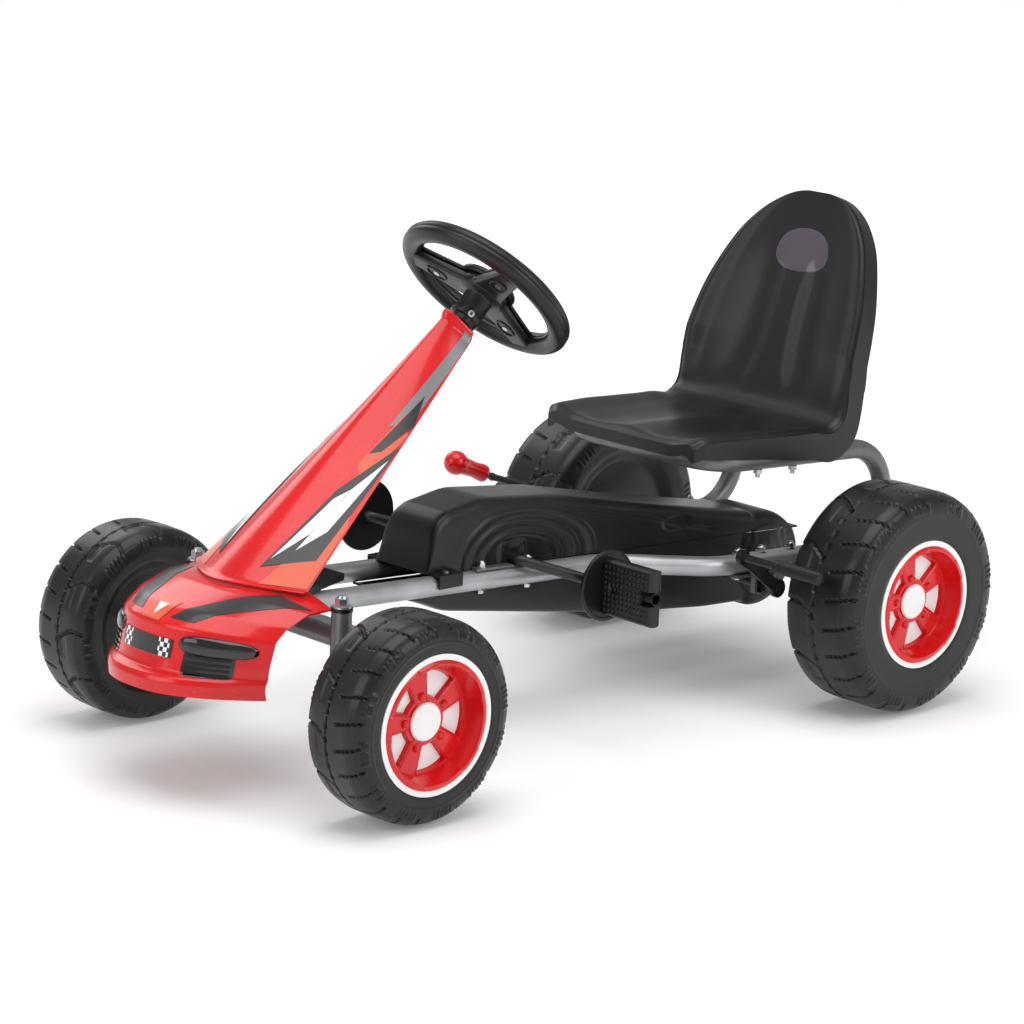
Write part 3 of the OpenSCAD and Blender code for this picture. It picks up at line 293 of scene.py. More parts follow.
def cushion_box(centre, half, round_off, bend=None, steps=5):
    """A box with rounded edges: a sphere's grid whose eight parts are moved apart to
    the box's corners. bend may move the finished points."""
    quarter = np.linspace(0, np.pi / 2, steps)
    turn = np.concatenate([quarter + q * np.pi / 2 for q in range(4)])
    signs_x = np.repeat([1, -1, -1, 1], steps)
    signs_y = np.repeat([1, 1, -1, -1], steps)
    rise = np.concatenate([quarter - np.pi / 2, quarter])
    signs_z = np.repeat([-1, 1], steps)
    n = np.stack([np.cos(rise)[:, None] * np.cos(turn), np.cos(rise)[:, None] * np.sin(turn),
                  np.sin(rise)[:, None] * np.ones_like(turn)], -1)
    sign = np.stack(np.broadcast_arrays(signs_x[None], signs_y[None], signs_z[:, None]), -1)
    points = sign * (np.asarray(half) - round_off) + n * round_off
    if bend is not None:
        points = bend(points)
    return capped(points + np.asarray(centre))


def bump_of(distance, edge):
    """1 inside a shape and 0 outside it, with a smooth step of a given width."""
    t = np.clip(0.5 - distance / edge, 0, 1)
    return t * t * (3 - 2 * t)


def swell(value, power):
    """A sine or cosine raised to a power with its sign kept: the co-ordinate of a
    superellipse, squarer as the power falls."""
    return np.sign(value) * np.abs(value) ** power


def outward(surface, u, v, axis):
    """Unit normals of a surface of (u, v), from its slopes, turned towards +Z for
    axis 2 and towards -Y for axis 1."""
    step = 1e-3
    out = np.cross(surface(u + step, v) - surface(u - step, v),
                   surface(u, v + step) - surface(u, v - step))
    out /= np.maximum(np.linalg.norm(out, axis=-1, keepdims=True), 1e-12)
    ahead = out[..., axis].mean() > 0
    return out if ahead == (axis == 2) else -out


# ---- finishes ----------------------------------------------------------------

class Reading:
    """An output socket that can be used in sums; numbers on either side are allowed."""

    def __init__(self, finish, socket):
        self.finish, self.socket = finish, socket

    def _sum(self, operation, first, second):
        return self.finish.add("ShaderNodeMath", {"operation": operation}, {0: first, 1: second})

    def __add__(self, other):
        return self._sum("ADD", self, other)

    def __radd__(self, other):
        return self._sum("ADD", other, self)

    def __sub__(self, other):
        return self._sum("SUBTRACT", self, other)

    def __rsub__(self, other):
        return self._sum("SUBTRACT", other, self)

    def __mul__(self, other):
        return self._sum("MULTIPLY", self, other)

    def __rmul__(self, other):
        return self._sum("MULTIPLY", other, self)

    def __truediv__(self, other):
        return self._sum("DIVIDE", self, other)

    def __gt__(self, other):
        return self._sum("GREATER_THAN", self, other)

    def __lt__(self, other):
        return self._sum("LESS_THAN", self, other)

    def __mod__(self, other):
        return self._sum("FLOORED_MODULO", self, other)


class Finish:
    """A material under construction; every node is added by one method."""

    def __init__(self, name, **constants):
        self.material = bpy.data.materials.new(name)
        self.material.use_nodes = True
        self.tree = self.material.node_tree
        self.tree.nodes.clear()
        out = self.tree.nodes.new("ShaderNodeOutputMaterial")
        self.shader = self.tree.nodes.new("ShaderNodeBsdfPrincipled")
        self.tree.links.new(self.shader.outputs[0], out.inputs["Surface"])
        for key, value in constants.items():
            self.shader.inputs[key.replace("_", " ")].default_value = value
        self.place = self.add("ShaderNodeTexCoord", output="Object")

    def add(self, kind, settings=None, inputs=None, output=0):
        """Adds a node, sets its settings, then its inputs, and reads one output."""
        node = self.tree.nodes.new(kind)
        for key, value in (settings or {}).items():
            if key == "stops":
                for extra in range(len(value) - 2):
                    node.color_ramp.elements.new(0.5)
                for element, (position, colour) in zip(node.color_ramp.elements, value):
                    element.position, element.color = position, (*colour, 1)
            else:
                setattr(node, key, value)
        for key, value in (inputs or {}).items():
            if isinstance(value, Reading):
                self.tree.links.new(value.socket, node.inputs[key])
            else:
                node.inputs[key].default_value = value
        return Reading(self, node.outputs[output])

    def noise(self, scale, detail=3, stretch=None):
        """Cloudy noise from 0 to 1, in waves per metre."""
        at = self.place
        if stretch is not None:
            at = self.add("ShaderNodeVectorMath", {"operation": "MULTIPLY"},
                          {0: at, 1: stretch})
        return self.add("ShaderNodeTexNoise", {}, {"Vector": at, "Scale": scale,
                                                   "Detail": detail})

    def axes(self):
        """The place's x, y and z as three readings."""
        node = self.tree.nodes.new("ShaderNodeSeparateXYZ")
        self.tree.links.new(self.place.socket, node.inputs[0])
        return [Reading(self, s) for s in node.outputs]

    def ramp(self, value, low, high):
        """0 below low and 1 above high, straight between them."""
        return self.add("ShaderNodeMapRange", {"clamp": True},
                        {"Value": value, "From Min": low, "From Max": high})

    def blend(self, share, first, second):
        """The first colour where share is 0 and the second where it is 1."""
        node = self.tree.nodes.new("ShaderNodeMix")
        node.data_type = "RGBA"
        for socket, value in ((node.inputs[0], share), (node.inputs[6], first),
                              (node.inputs[7], second)):
            if isinstance(value, Reading):
                self.tree.links.new(value.socket, socket)
            else:
                socket.default_value = value if isinstance(value, float) else (*value, 1)[:4]
        return Reading(self, node.outputs[2])

    def use(self, **readings):
        """Links readings to the shader's sockets."""
        for key, value in readings.items():
            self.tree.links.new(value.socket, self.shader.inputs[key.replace("_", " ")])
        return self

    def relief(self, height, depth, strength=1.0):
        """Small relief from a reading, in metres."""
        normal = self.add("ShaderNodeBump", {}, {"Height": height, "Distance": depth,
                                                 "Strength": strength})
        return self.use(Normal=normal)


def moulded(name, colour, dark, rough, grain, grain_depth, coat=0.0, scuff=0.08):
    """Injection or blow moulded plastic: slow colour drift, fine grain and faint scuffs."""
    f = Finish(name, IOR=1.45, Specular_IOR_Level=0.38, Coat_Weight=coat, Coat_Roughness=0.1)
    drift = f.noise(9, 4)
    fine = f.noise(grain, 2)
    scratches = f.ramp(f.noise(160, 6, (1, 0.12, 1)), 0.62, 0.75)
    base = f.blend(f.ramp(drift, 0.35, 0.7), dark, colour)
    pale = tuple(min(1, c * 1.25 + 0.03) for c in colour)
    f.use(Base_Color=f.blend(scratches * scuff, base, pale),
          Roughness=rough + (fine - 0.5) * 0.14 + scratches * 0.1)
    f.relief(fine + f.noise(14, 2) * 2, grain_depth, 0.5)
    return f.material


def metal(name, colour, rough, metallic=1.0, brushed=None, specks=0.0):
    """Plated, polished or painted metal with a little unevenness."""
    f = Finish(name, Metallic=metallic)
    streak = f.noise(260, 4, brushed or (1, 1, 1))
    patch = f.noise(22, 3)
    dark = tuple(c * 0.72 for c in colour)
    tone = f.blend(f.ramp(patch, 0.3, 0.75), dark, colour)
    dirt = f.ramp(f.noise(420, 2), 0.68, 0.72)
    f.use(Base_Color=f.blend(dirt * specks, tone, tuple(c * 0.35 for c in colour)),
          Roughness=rough + (streak - 0.5) * 0.16 + patch * 0.05)
    f.relief(streak, 0.00004, 0.4)
    return f.material


def printed(name, colour, rough=0.3):
    """A thin printed film: one ink with a faint grain."""
    f = Finish(name, IOR=1.45, Coat_Weight=0.25, Coat_Roughness=0.15)
    grain = f.noise(900, 2)
    dark = tuple(c * 0.85 for c in colour)
    f.use(Base_Color=f.blend(grain, dark, colour), Roughness=rough + (grain - 0.5) * 0.08)
    f.relief(f.noise(60, 2), 0.00003, 0.4)
    return f.material


def plate_finish():
    """Black number plate with rows of white squares at its two ends."""
    f = Finish("number_plate_print", IOR=1.45, Coat_Weight=0.2)
    x, _, z = f.axes()
    side = f.add("ShaderNodeMath", {"operation": "ABSOLUTE"}, {0: x})
    cell = 0.0052
    across = f.add("ShaderNodeMath", {"operation": "FLOOR"}, {0: side / cell})
    up = f.add("ShaderNodeMath", {"operation": "FLOOR"}, {0: z / cell})
    odd = (across + up) % 2.0 > 0.5
    band = (side > 0.0235) * (side < 0.0390)
    grain = f.noise(800, 2)
    ink = f.blend(grain, (0.008, 0.008, 0.009), (0.02, 0.02, 0.022))
    f.use(Base_Color=f.blend(odd * band, ink, (0.8, 0.8, 0.8)),
          Roughness=0.25 + grain * 0.1)
    return f.material


FINISHES = {}


def finish(name):
    """The finished material of a given name."""
    return FINISHES[name]


def make_finishes(colours):
    """Every finish of the kart, from the colours a user may change."""
    red, black = tuple(colours.red), tuple(colours.black)
    white, frame_grey = tuple(colours.white), tuple(colours.frame)
    deep = tuple(c * 0.82 for c in red)
    FINISHES.update({
        "red_plastic": moulded("red_plastic", red, deep, 0.24, 1500, 0.00002, 0.35),
        "black_plastic": moulded("black_plastic", black, tuple(c * 0.6 for c in black),
                                 0.34, 2600, 0.00006, 0.05, 0.05),
        "seat_plastic": moulded("seat_plastic", black, tuple(c * 0.6 for c in black),
                                0.36, 2200, 0.00006, 0.05, 0.05),
        "wheel_plastic": moulded("wheel_plastic", tuple(c * 1.1 for c in black),
                                 tuple(c * 0.7 for c in black), 0.34, 1900, 0.00008, 0.08, 0.07),
        "white_plastic": moulded("white_plastic", white, tuple(c * 0.94 for c in white),
                                 0.3, 1500, 0.00002, 0.3, 0.02),
        "lens_plastic": moulded("lens_plastic", (0.006, 0.006, 0.007), (0.003, 0.003, 0.004),
                                0.1, 1500, 0.00001, 0.8, 0.02),
        "number_plate": plate_finish(),
        "rail_steel": metal("rail_steel", (0.50, 0.51, 0.53), 0.36, 0.75,
                            (1, 0.06, 1), 0.25),
        "hoop_paint": metal("hoop_paint", frame_grey, 0.36, 0.55, (1, 1, 1), 0.12),
        "chrome": metal("chrome", (0.86, 0.87, 0.89), 0.09, 1.0, (1, 1, 1), 0.0),
        "zinc_steel": metal("zinc_steel", (0.62, 0.63, 0.64), 0.3, 1.0, (1, 1, 1), 0.3),
        "chain_steel": metal("chain_steel", (0.16, 0.155, 0.15), 0.42, 0.9, (1, 1, 1), 0.6),
        "black_paint": metal("black_paint", (0.022, 0.022, 0.024), 0.3, 0.15, (1, 1, 1), 0.0),
        "badge_film": printed("badge_film", (0.085, 0.07, 0.09), 0.16),
        "stripe_film": printed("stripe_film", (0.022, 0.021, 0.023)),
        "orange_film": printed("orange_film", (0.74, 0.085, 0.02)),
        "white_film": printed("white_film", (0.82, 0.82, 0.82)),
        "grey_film": printed("grey_film", (0.20, 0.20, 0.21)),
        "black_film": printed("black_film", (0.01, 0.01, 0.012)),
    })


# ---- wheels ------------------------------------------------------------------

class Wheel:
    """Sizes and place of one left wheel, read from its CAD nodes."""

    def __init__(self, end):
        low, high = corners(f"{end}_left_tyre")
        self.end = end
        self.radius = (high[2] - low[2]) / 2
        self.width = high[0] - low[0]
        self.inner = np.array([low[0], (low[1] + high[1]) / 2, (low[2] + high[2]) / 2])
        disc_low, disc_high = corners(f"{end}_left_disc")
        self.ring = (disc_high[2] - disc_low[2]) / 2
        self.rim = self.ring - 7 * MM
        self.bore = 6.05 * MM if end == "front" else 7.05 * MM
        self.body_left = "wheel_front_left" if end == "front" else "axle"
        self.body_right = f"wheel_{end}_right"


def tyre_mould(wheel, tread):
    """A hollow moulded tyre: its profile turned about the axle, with the tread blocks,
    the parting groove and the bars on its side as relief along the normal."""
    r, w = wheel.radius / MM, wheel.width / MM
    rim, ring = wheel.rim / MM, wheel.ring / MM
    deep = w - 29
    outer = [[rim - 5, deep], [rim + 1, w - 3.5], [ring + 0.3, w - 2.5], [ring + 2, w - 0.5],
             [r * 0.83, w], [r - 12, w - 3], [r - 5, w - 9], [r - 1.6, w - 20],
             [r - 1.2, w / 2], [r - 1.4, 22], [r - 3, 12], [r - 10, 4], [r * 0.8, 0.6],
             [r * 0.68, 4], [r * 0.56, 15], [28, 15], [24, 6.5]]
    skin = resampled(outer, 150, 3)
    back = resampled([[24, 6], [wheel.bore / MM, 6], [wheel.bore / MM, deep], [rim - 5, deep]], 12)
    profile = np.vstack([skin, back[1:-1]]) * MM

    def relief(radius, along, angle):
        across = along / wheel.width
        on_tread = bump_of(0.895 - radius / wheel.radius, 0.03)
        steps = 12
        phase = angle * steps / (2 * np.pi)
        teeth = bump_of(np.abs(phase * 4 % 1 - 0.5) - 0.2, 0.12)
        wide = np.abs((phase + 0.12 * np.sin(across * 9)) % 1 - 0.5)
        inner_cut = bump_of(0.465 - wide, 0.025) * bump_of(across - 0.45, 0.02)
        half = np.abs((phase * 2 + across * 0.7) % 1 - 0.5)
        outer_cut = bump_of(0.455 - half, 0.035) * bump_of(0.60 - across, 0.02)
        channel = bump_of(np.abs(across - 0.45) - 0.008 - 0.018 * teeth, 0.008)
        lug = bump_of(np.abs((phase * 1 + 0.25) % 1 - 0.5) - 0.2, 0.03)
        notch = lug * bump_of(np.abs(across - 0.34) - 0.05, 0.012)
        height = (-inner_cut - outer_cut - channel - 0.35 * notch) * tread * on_tread
        share = radius / wheel.radius
        five = (phase % 1) * 9
        bars = bump_of(np.abs(five % 1 - 0.5) - 0.26, 0.18) * (five < 5)
        side = bars * bump_of(np.abs(share - 0.875) - 0.045, 0.012)
        outer_side = side * (across > 0.8)
        inner_side = side * (across < 0.2)
        ridge = bump_of(np.abs(share - 0.79) - 0.006, 0.01) * (across > 0.8)
        return height + (outer_side + inner_side) * tread * 0.45 + ridge * tread * 0.3

    mould = Mould()
    mould.take(*turned(profile, wheel.inner, count=480, relief=relief))
    return mould


RIM_TURN = math.radians(31)


def rim_mould(wheel):
    """The red dish: a polar height field. Its floor carries five spokes with a crown
    and a dome each, falls behind the white disc between them, and rises to the lip."""
    rim, w = wheel.rim, wheel.width
    radius = np.concatenate([np.linspace(15 * MM, rim - 13 * MM, 44),
                             np.linspace(rim - 12.5 * MM, rim + 0.1 * MM, 20)])[:, None]
    angle = np.linspace(0, 2 * np.pi, 400, endpoint=False)[None]
    turned_by = angle - RIM_TURN
    sector = (turned_by / (2 * np.pi) * 5) % 1
    off_spoke = np.minimum(sector, 1 - sector) * 2 * np.pi / 5 * radius
    half_window = 7 * MM + (radius - 27 * MM) * 0.46
    half_spoke = np.pi / 5 * radius - half_window
    window = (bump_of(half_spoke - off_spoke, 1.4 * MM)
              * bump_of(29 * MM - radius, 1.5 * MM) * bump_of(radius - (rim - 16 * MM), 1.5 * MM))
    floor = w - 21.5 * MM
    crown = (1 - bump_of(half_spoke - off_spoke - 2.4 * MM, 3 * MM)) * 1.2 * MM
    wall = np.clip((radius - (rim - 13 * MM)) / (7 * MM), 0, 1) ** 1.2 * 22.4 * MM
    lip = np.clip((radius - (rim - 5.6 * MM)) / (5.6 * MM), 0, 1) ** 2 * 1.8 * MM
    nearest = np.round(turned_by / (2 * np.pi) * 5) * 2 * np.pi / 5
    dome_d = np.hypot(radius * np.cos(turned_by - nearest) - 31 * MM,
                      radius * np.sin(turned_by - nearest))
    dome = np.sqrt(np.clip((4.6 * MM) ** 2 - dome_d ** 2, 0, None))
    height = floor - window * 6.6 * MM + crown * (1 - window) + wall - lip + dome
    top = np.stack(np.broadcast_arrays(
        height, radius * np.cos(angle), radius * np.sin(angle)), -1)
    under = top.copy()
    under[..., 0] = np.minimum(height - 1.2 * MM, np.where(radius > rim - 6 * MM, w - 1.4 * MM, 1))
    ring = np.concatenate([top, under[::-1]]) + wheel.inner
    mould = Mould()
    mould.take(ring, grid_faces(ring.shape[0], ring.shape[1], True, True))
    return mould


def cap_mould(wheel):
    """A white cap: a low dome with a rounded edge, turned about the axle."""
    low = wheel.width - 21.6 * MM
    r = 22.4 * MM
    t = np.linspace(0, np.pi / 2, 14)
    edge = np.stack([r - 3 * MM + 3 * MM * np.cos(t), low + 1.6 * MM + 3 * MM * np.sin(t)], -1)
    top = np.stack([np.linspace(r - 3.4 * MM, 0.2 * MM, 8),
                    low + 4.6 * MM + 1.1 * MM * np.linspace(0, 1, 8) ** 0.6], -1)
    profile = np.vstack([[[0.2 * MM, low]], [[r - 1 * MM, low]], edge, top])
    mould = Mould()
    mould.take(*domed(profile, wheel.inner, count=72))
    return mould


# ---- covers ------------------------------------------------------------------

NOSE_HALF = 127
NOSE_MID = [[0, -12, 236], [0.25, -93, 231], [0.45, -150, 217], [0.55, -173, 202],
            [0.72, -180, 165], [0.80, -184, 152], [0.86, -196, 148], [0.92, -199, 142],
            [1, -198, 128]]
NOSE_SIDE = [[0, -12, 217], [0.25, -45, 216], [0.45, -75, 205], [0.55, -92, 190],
             [0.72, -101, 160], [0.80, -102, 148], [0.86, -105, 143], [0.92, -106, 136],
             [1, -104, 124]]


def nose(u, v):
    """The nose's skin, in metres. v runs from the hood's rear edge to the lip and u
    across: each point lies between a middle and a side profile, by |u| to the 2.4."""
    u, v = np.broadcast_arrays(u, v)
    share = np.abs(u) ** 2.4
    back = eased(v, NOSE_MID, 1, 0.012) * (1 - share) + eased(v, NOSE_SIDE, 1, 0.012) * share
    up = eased(v, NOSE_MID, 2, 0.012) * (1 - share) + eased(v, NOSE_SIDE, 2, 0.012) * share
    return np.stack([NOSE_HALF * u * MM, FRONT[1] + back * MM, up * MM], -1)


def nose_mould():
    """The nose as a shell whose wall grows inwards."""
    u = np.linspace(-1, 1, 121)[None]
    v = np.linspace(0, 1, 141)[:, None]
    mould = Mould()
    mould.take(*shell(nose(u, v), 2.6 * MM, (0, FRONT[1], 0.10)))
    return mould


COVER_LOW, COVER_LENGTH, COVER_SLOPE = (-82, 230), 448, math.radians(39.1)


def cover(u, v):
    """The column cover's skin, in metres: a ridge line rises at the slope, the half
    width narrows evenly, and the sides fall away from the ridge by |u| to the 1.6.
    Each line starts on the nose."""
    u, v = np.broadcast_arrays(u, v)
    depth = 36 * np.abs(u) ** 1.7
    foot = 233.2 - 4.5 * u * u
    start = (foot - COVER_LOW[1] + depth * math.cos(COVER_SLOPE)) / math.sin(COVER_SLOPE)
    along = start + (COVER_LENGTH - start) * v
    half = 97 + (24 - 97) * v
    flare = 5 * bump_of(0.985 - v, 0.02)
    lip = 3.5 * np.exp(-((v - 0.0) / 0.012) ** 2)
    return np.stack([(half + flare * 0.4) * u * MM,
                     FRONT[1] + (COVER_LOW[0] + along * math.cos(COVER_SLOPE)
                                 + (depth - flare - lip) * math.sin(COVER_SLOPE)) * MM,
                     (COVER_LOW[1] + along * math.sin(COVER_SLOPE)
                      - (depth - flare - lip) * math.cos(COVER_SLOPE)) * MM], -1)


def cover_mould():
    """The column cover as a shell that grows inwards, with a turned-out edge on top."""
    u = np.linspace(-1, 1, 97)[None]
    v = np.linspace(0, 1, 181)[:, None]
    mould = Mould()
    mould.take(*shell(cover(u, v), 2.4 * MM, (0, FRONT[1] + 0.15, 0.20)))
    return mould


def flash(surface, quad, lift, rows=24, columns=24):
    """A film on a surface: a four-cornered patch in its (u, v) sheet, given by its
    corners in turn, raised along the normal by lift and 0.35 mm thick."""
    (u0, v0), (u1, v1), (u2, v2), (u3, v3) = quad
    a = np.linspace(0, 1, columns)[None]
    b = np.linspace(0, 1, rows)[:, None]
    u = (1 - a) * (1 - b) * u0 + a * (1 - b) * u1 + a * b * u2 + (1 - a) * b * u3
    v = (1 - a) * (1 - b) * v0 + a * (1 - b) * v1 + a * b * v2 + (1 - a) * b * v3
    points = surface(u, v)
    out = outward(surface, u, v, 2)
    return two_skins(points + out * (lift + 0.25 * MM), points + out * (lift - 0.1 * MM))


def patch(surface, middle_uv, half_uv, power, lift, bulge, base=-0.8, rings=14, count=72):
    """A rounded patch on a surface: a superellipse of the given power in its (u, v)
    sheet, raised along the normal by lift and domed by bulge towards its middle."""
    a = np.linspace(0, 2 * np.pi, count, endpoint=False)[None]
    r = np.concatenate([[1.0, 1.0], np.linspace(0.985, 0.02, rings)])[:, None]
    u = middle_uv[0] + half_uv[0] * r * swell(np.cos(a), power)
    v = middle_uv[1] + half_uv[1] * r * swell(np.sin(a), power)
    points = surface(u, v)
    out = outward(surface, u, v, 1)
    height = lift + bulge * np.sqrt(np.clip(1 - r * r, 0, 1))
    height[0] = base
    return capped(points + out * (height * MM)[..., None])


# ---- chain case --------------------------------------------------------------

CASE_TOP = [[206, 192], [209, 235], [216, 260], [236, 277], [300, 288], [430, 275], [560, 249],
            [700, 223], [770, 211]]
CASE_LOW = [[168, 183], [206, 170], [240, 156], [432, 125], [575, 104], [700, 91], [770, 88]]
CASE_HALF = 48
DISC = 64
DISC_UP = REAR[2] / MM
WHEELBASE = 798
RAIL_FALL = math.radians(2.4)


def rail_line(back):
    """Height of the rails' middle, in millimetres, at a distance behind the front axle."""
    return 203 - back * math.tan(RAIL_FALL)


def case_edge(back, table, sign):
    """Top or lower edge of the case: the table's line, or the round end about the
    rear axle where that reaches further."""
    table = np.asarray(table, float)
    line = sum(np.interp(back + s, table[:, 0], table[:, 1]) for s in np.linspace(-9, 9, 7)) / 7
    reach = np.clip(DISC ** 2 - (back - WHEELBASE) ** 2, 0, None)
    disc = DISC_UP + sign * np.sqrt(reach)
    far = bump_of(WHEELBASE - 22 - back, 12)
    return line * (1 - far) + disc * far


def case_relief(back, up, upper):
    """Relief of the case's side, outwards in millimetres: arched ribs over a raised
    rounded square round the crank's hole, a long groove, and step rings at the rear."""
    cy, cz = 344, CRANK[2] / MM
    square = np.maximum(np.abs(back - cy) - 18, np.abs(up - cz) - 18)
    frame_edge = bump_of(np.abs(square) - 3.2, 2)
    inside = bump_of(square, 2)
    along = back - cy
    arch = np.hypot(np.where(along < 0, along * 0.72, along * 0.46), np.maximum(up - cz + 6, 0))
    ribs = sum(bump_of(np.abs(arch - radius) - 3.0, 3.0) for radius in (36, 50, 63))
    ribs = ribs * bump_of(cz - 12 - up, 10)
    groove_mid = 262 - (back - 400) * 0.20 + 5 * np.sin((back - 400) / 62)
    groove = bump_of(np.abs(up - groove_mid) - 2.4, 2.4) * bump_of(435 - back, 12) \
        * bump_of(back - 700, 20)
    ring = np.hypot(back - WHEELBASE, up - DISC_UP)
    steps = bump_of(ring - 47, 2.4) + bump_of(ring - 36, 2.4) + bump_of(ring - 24, 2.4)
    recess = bump_of(np.hypot((back - 632) / 2.6, up - 214) - 9.5, 2) if upper else 0
    return 2.2 * frame_edge - 1.2 * inside + 2.0 * ribs - 1.8 * groove + 1.3 * steps - 1.6 * recess


def case_mould(upper):
    """Half of the chain case as a shell. Its cross section is a U with round shoulders:
    a super-ellipse of power 9 in width and height, carried from front to rear between
    the split on the rails' plane and the case's edge."""
    start = 206 if upper else 170
    back = np.concatenate([np.linspace(start, WHEELBASE - 8, 196),
                           WHEELBASE + DISC * np.sin(np.linspace(-0.12, np.pi / 2 - 0.02, 44))[1:]])
    back = back[:, None]
    split = rail_line(back) + (13.0 if upper else np.where(back > 493, 12.4, -13.0))
    edge = case_edge(back, CASE_TOP if upper else CASE_LOW, 1 if upper else -1)
    if not upper:
        split = np.minimum(split, case_edge(back, CASE_TOP, 1) - 0.4)
    end = np.clip((back - start) / 12, 0, 1)
    shoulder = np.sqrt(1 - (1 - end) ** 2)
    reach = np.maximum(((edge - split) if upper else (split - edge)) * shoulder, 0.6)
    a = np.linspace(0, np.pi, 157)[None]
    wall = swell(np.cos(a), 0.18)
    rise = np.abs(np.sin(a)) ** 0.55
    up = split + (reach if upper else -reach) * rise
    fade = bump_of(rise - 0.93, 0.06)
    relief = case_relief(back + 0 * up, up, upper) * fade
    half = CASE_HALF - 1.5 + 0 * back
    x = half * wall + np.sign(wall) * relief * (np.abs(wall) > 0.9)
    points = np.stack(np.broadcast_arrays(x, FRONT[1] / MM + back, up), -1) * MM
    mould = Mould()
    centre = (0, FRONT[1] + 0.5, 0.19)
    mould.take(*shell(points, 2.2 * MM, centre))
    low, high = points[0], points[0] * [0.02, 1, 1]
    front = np.stack([low, low * [0.5, 1, 1], high])
    mould.take(*shell(front, 2.2 * MM, centre))
    return mould


# ---- seat --------------------------------------------------------------------

SEAT_LINE = [[0, 566, 330, 0.86, 17, 90], [0.06, 580, 339, 0.93, 19, 90],
             [0.2, 640, 338, 0.98, 24, 90], [0.38, 745, 333, 1, 33, 90],
             [0.47, 800, 334, 1, 38, 86], [0.53, 826, 350, 1, 36, 55],
             [0.6, 843, 392, 0.99, 32, 24], [0.75, 872, 480, 0.92, 28, 20],
             [0.88, 898, 556, 0.72, 24, 18], [0.95, 910, 592, 0.5, 20, 18],
             [1, 917, 614, 0.2, 14, 18]]
SEAT_HALF = 150


def seat(u, v, inner=False):
    """The seat's skin, in metres. v runs from the front lip along the pan and up the
    back. |u| to 0.8 crosses the face and the rest turns down the side skirt."""
    u, v = np.broadcast_arrays(u, v)
    back, up, share, skirt, lean = (eased(v, SEAT_LINE, k, 0.022) for k in range(1, 6))
    crown = np.sqrt(np.clip(1 - ((v - 0.60) / 0.402) ** 2, 0, 1))
    share = np.where(v > 0.60, share * 0.25 + 0.75 * crown * 0.995, share)
    flat = np.minimum(1, np.abs(u) / 0.8)
    over = np.clip((np.abs(u) - 0.8) / 0.2, 0, 1)
    hollow = 20 * flat ** 2 * np.clip((v - 0.5) / 0.15, 0, 1) * (1 - v ** 6)
    pan = bump_of(v - 0.44, 0.08)
    on_back = 1 - bump_of(v - 0.56, 0.08)
    side_roll = 5.0 * bump_of(0.80 - flat, 0.26) * pan
    leg = -7.0 * np.exp(-((flat - 0.42) / 0.26) ** 2) * bump_of(0.06 - v, 0.08) * pan
    waist = 0.16 + 2.6 * (v - 0.72) ** 2
    fade = on_back * bump_of(v - 0.82, 0.14)
    spine = 4.5 * bump_of(flat - waist, 0.15) * fade
    flank = 4.0 * np.exp(-((flat - waist - 0.22) / 0.18) ** 2) * fade
    roll = 6.0 * bump_of(0.86 - flat, 0.2) * on_back * (1 - v ** 5)
    lean = np.radians(lean)
    deep = skirt * over + (15 * (1 - over) if inner else 0)
    proud = side_roll + leg + spine - flank + roll
    shoulder = np.sqrt(np.clip(1 - (1 - np.clip((0.97 - flat) / 0.10, 0, 1)) ** 2, 0, 1))
    drop = 5.5 * (1 - shoulder) * (over <= 0)
    depth = deep - proud + drop + 5.5 * (over > 0)
    x = np.sign(u) * (SEAT_HALF * share * flat - (6 * flat ** 4 if inner else 0))
    return np.stack([x * MM,
                     FRONT[1] + (back - hollow + depth * np.cos(lean)) * MM,
                     (up + 2 * flat ** 3 * pan - depth * np.sin(lean)) * MM], -1)


def seat_mould():
    """The seat as two skins joined round their edge."""
    flat = np.concatenate([np.linspace(0, 0.7, 50, endpoint=False), np.linspace(0.7, 0.8, 16),
                           np.linspace(0.805, 1, 12)])
    u = np.concatenate([-flat[:0:-1], flat])[None]
    v = np.linspace(0, 1, 190)[:, None]
    mould = Mould()
    mould.take(*two_skins(seat(u, v), seat(u, v, True)))
    return mould


# ---- steering ----------------------------------------------------------------

SLOPE = math.radians(45.5)
COLUMN_FOOT = np.array([0, FRONT[1], 0.204])
COLUMN_UP = np.array([0, math.cos(SLOPE), math.sin(SLOPE)])
COLUMN_SIDE = np.array([1.0, 0, 0])
COLUMN_DOWN = np.cross(COLUMN_UP, COLUMN_SIDE)
WHEEL_PLANE = 464


def on_column(points):
    """Points in the column's frame, in millimetres, as places in metres."""
    points = np.asarray(points, float) * MM
    return (COLUMN_FOOT + points[..., :1] * COLUMN_SIDE + points[..., 1:2] * COLUMN_DOWN
            + points[..., 2:] * COLUMN_UP)


def half_ring(front):
    """Half of the wheel's ring: half a circle carried round, drawn in by 0.9 mm at the
    parting line."""
    a = np.linspace(0.02, np.pi - 0.02, 25) + (0 if front else np.pi)
    r = 13.4 - 1.1 * np.exp(-(np.sin(a) / 0.16) ** 2)
    section = np.stack([103.5 + r * np.cos(a), r * np.sin(a)], -1)
    section = np.vstack([section, [[103.5 + (-8 if front else 8), 0.1 if front else -0.1],
                                   [103.5 + (8 if front else -8), 0.1 if front else -0.1]]])
    t = np.linspace(0, 2 * np.pi, 160, endpoint=False)
    points = np.stack([section[:, :1] * np.cos(t), section[:, :1] * np.sin(t),
                       section[:, 1:] + 0 * t], -1)
    points[..., 2] += WHEEL_PLANE
    return on_column(points), grid_faces(points.shape[0], points.shape[1], True, True)


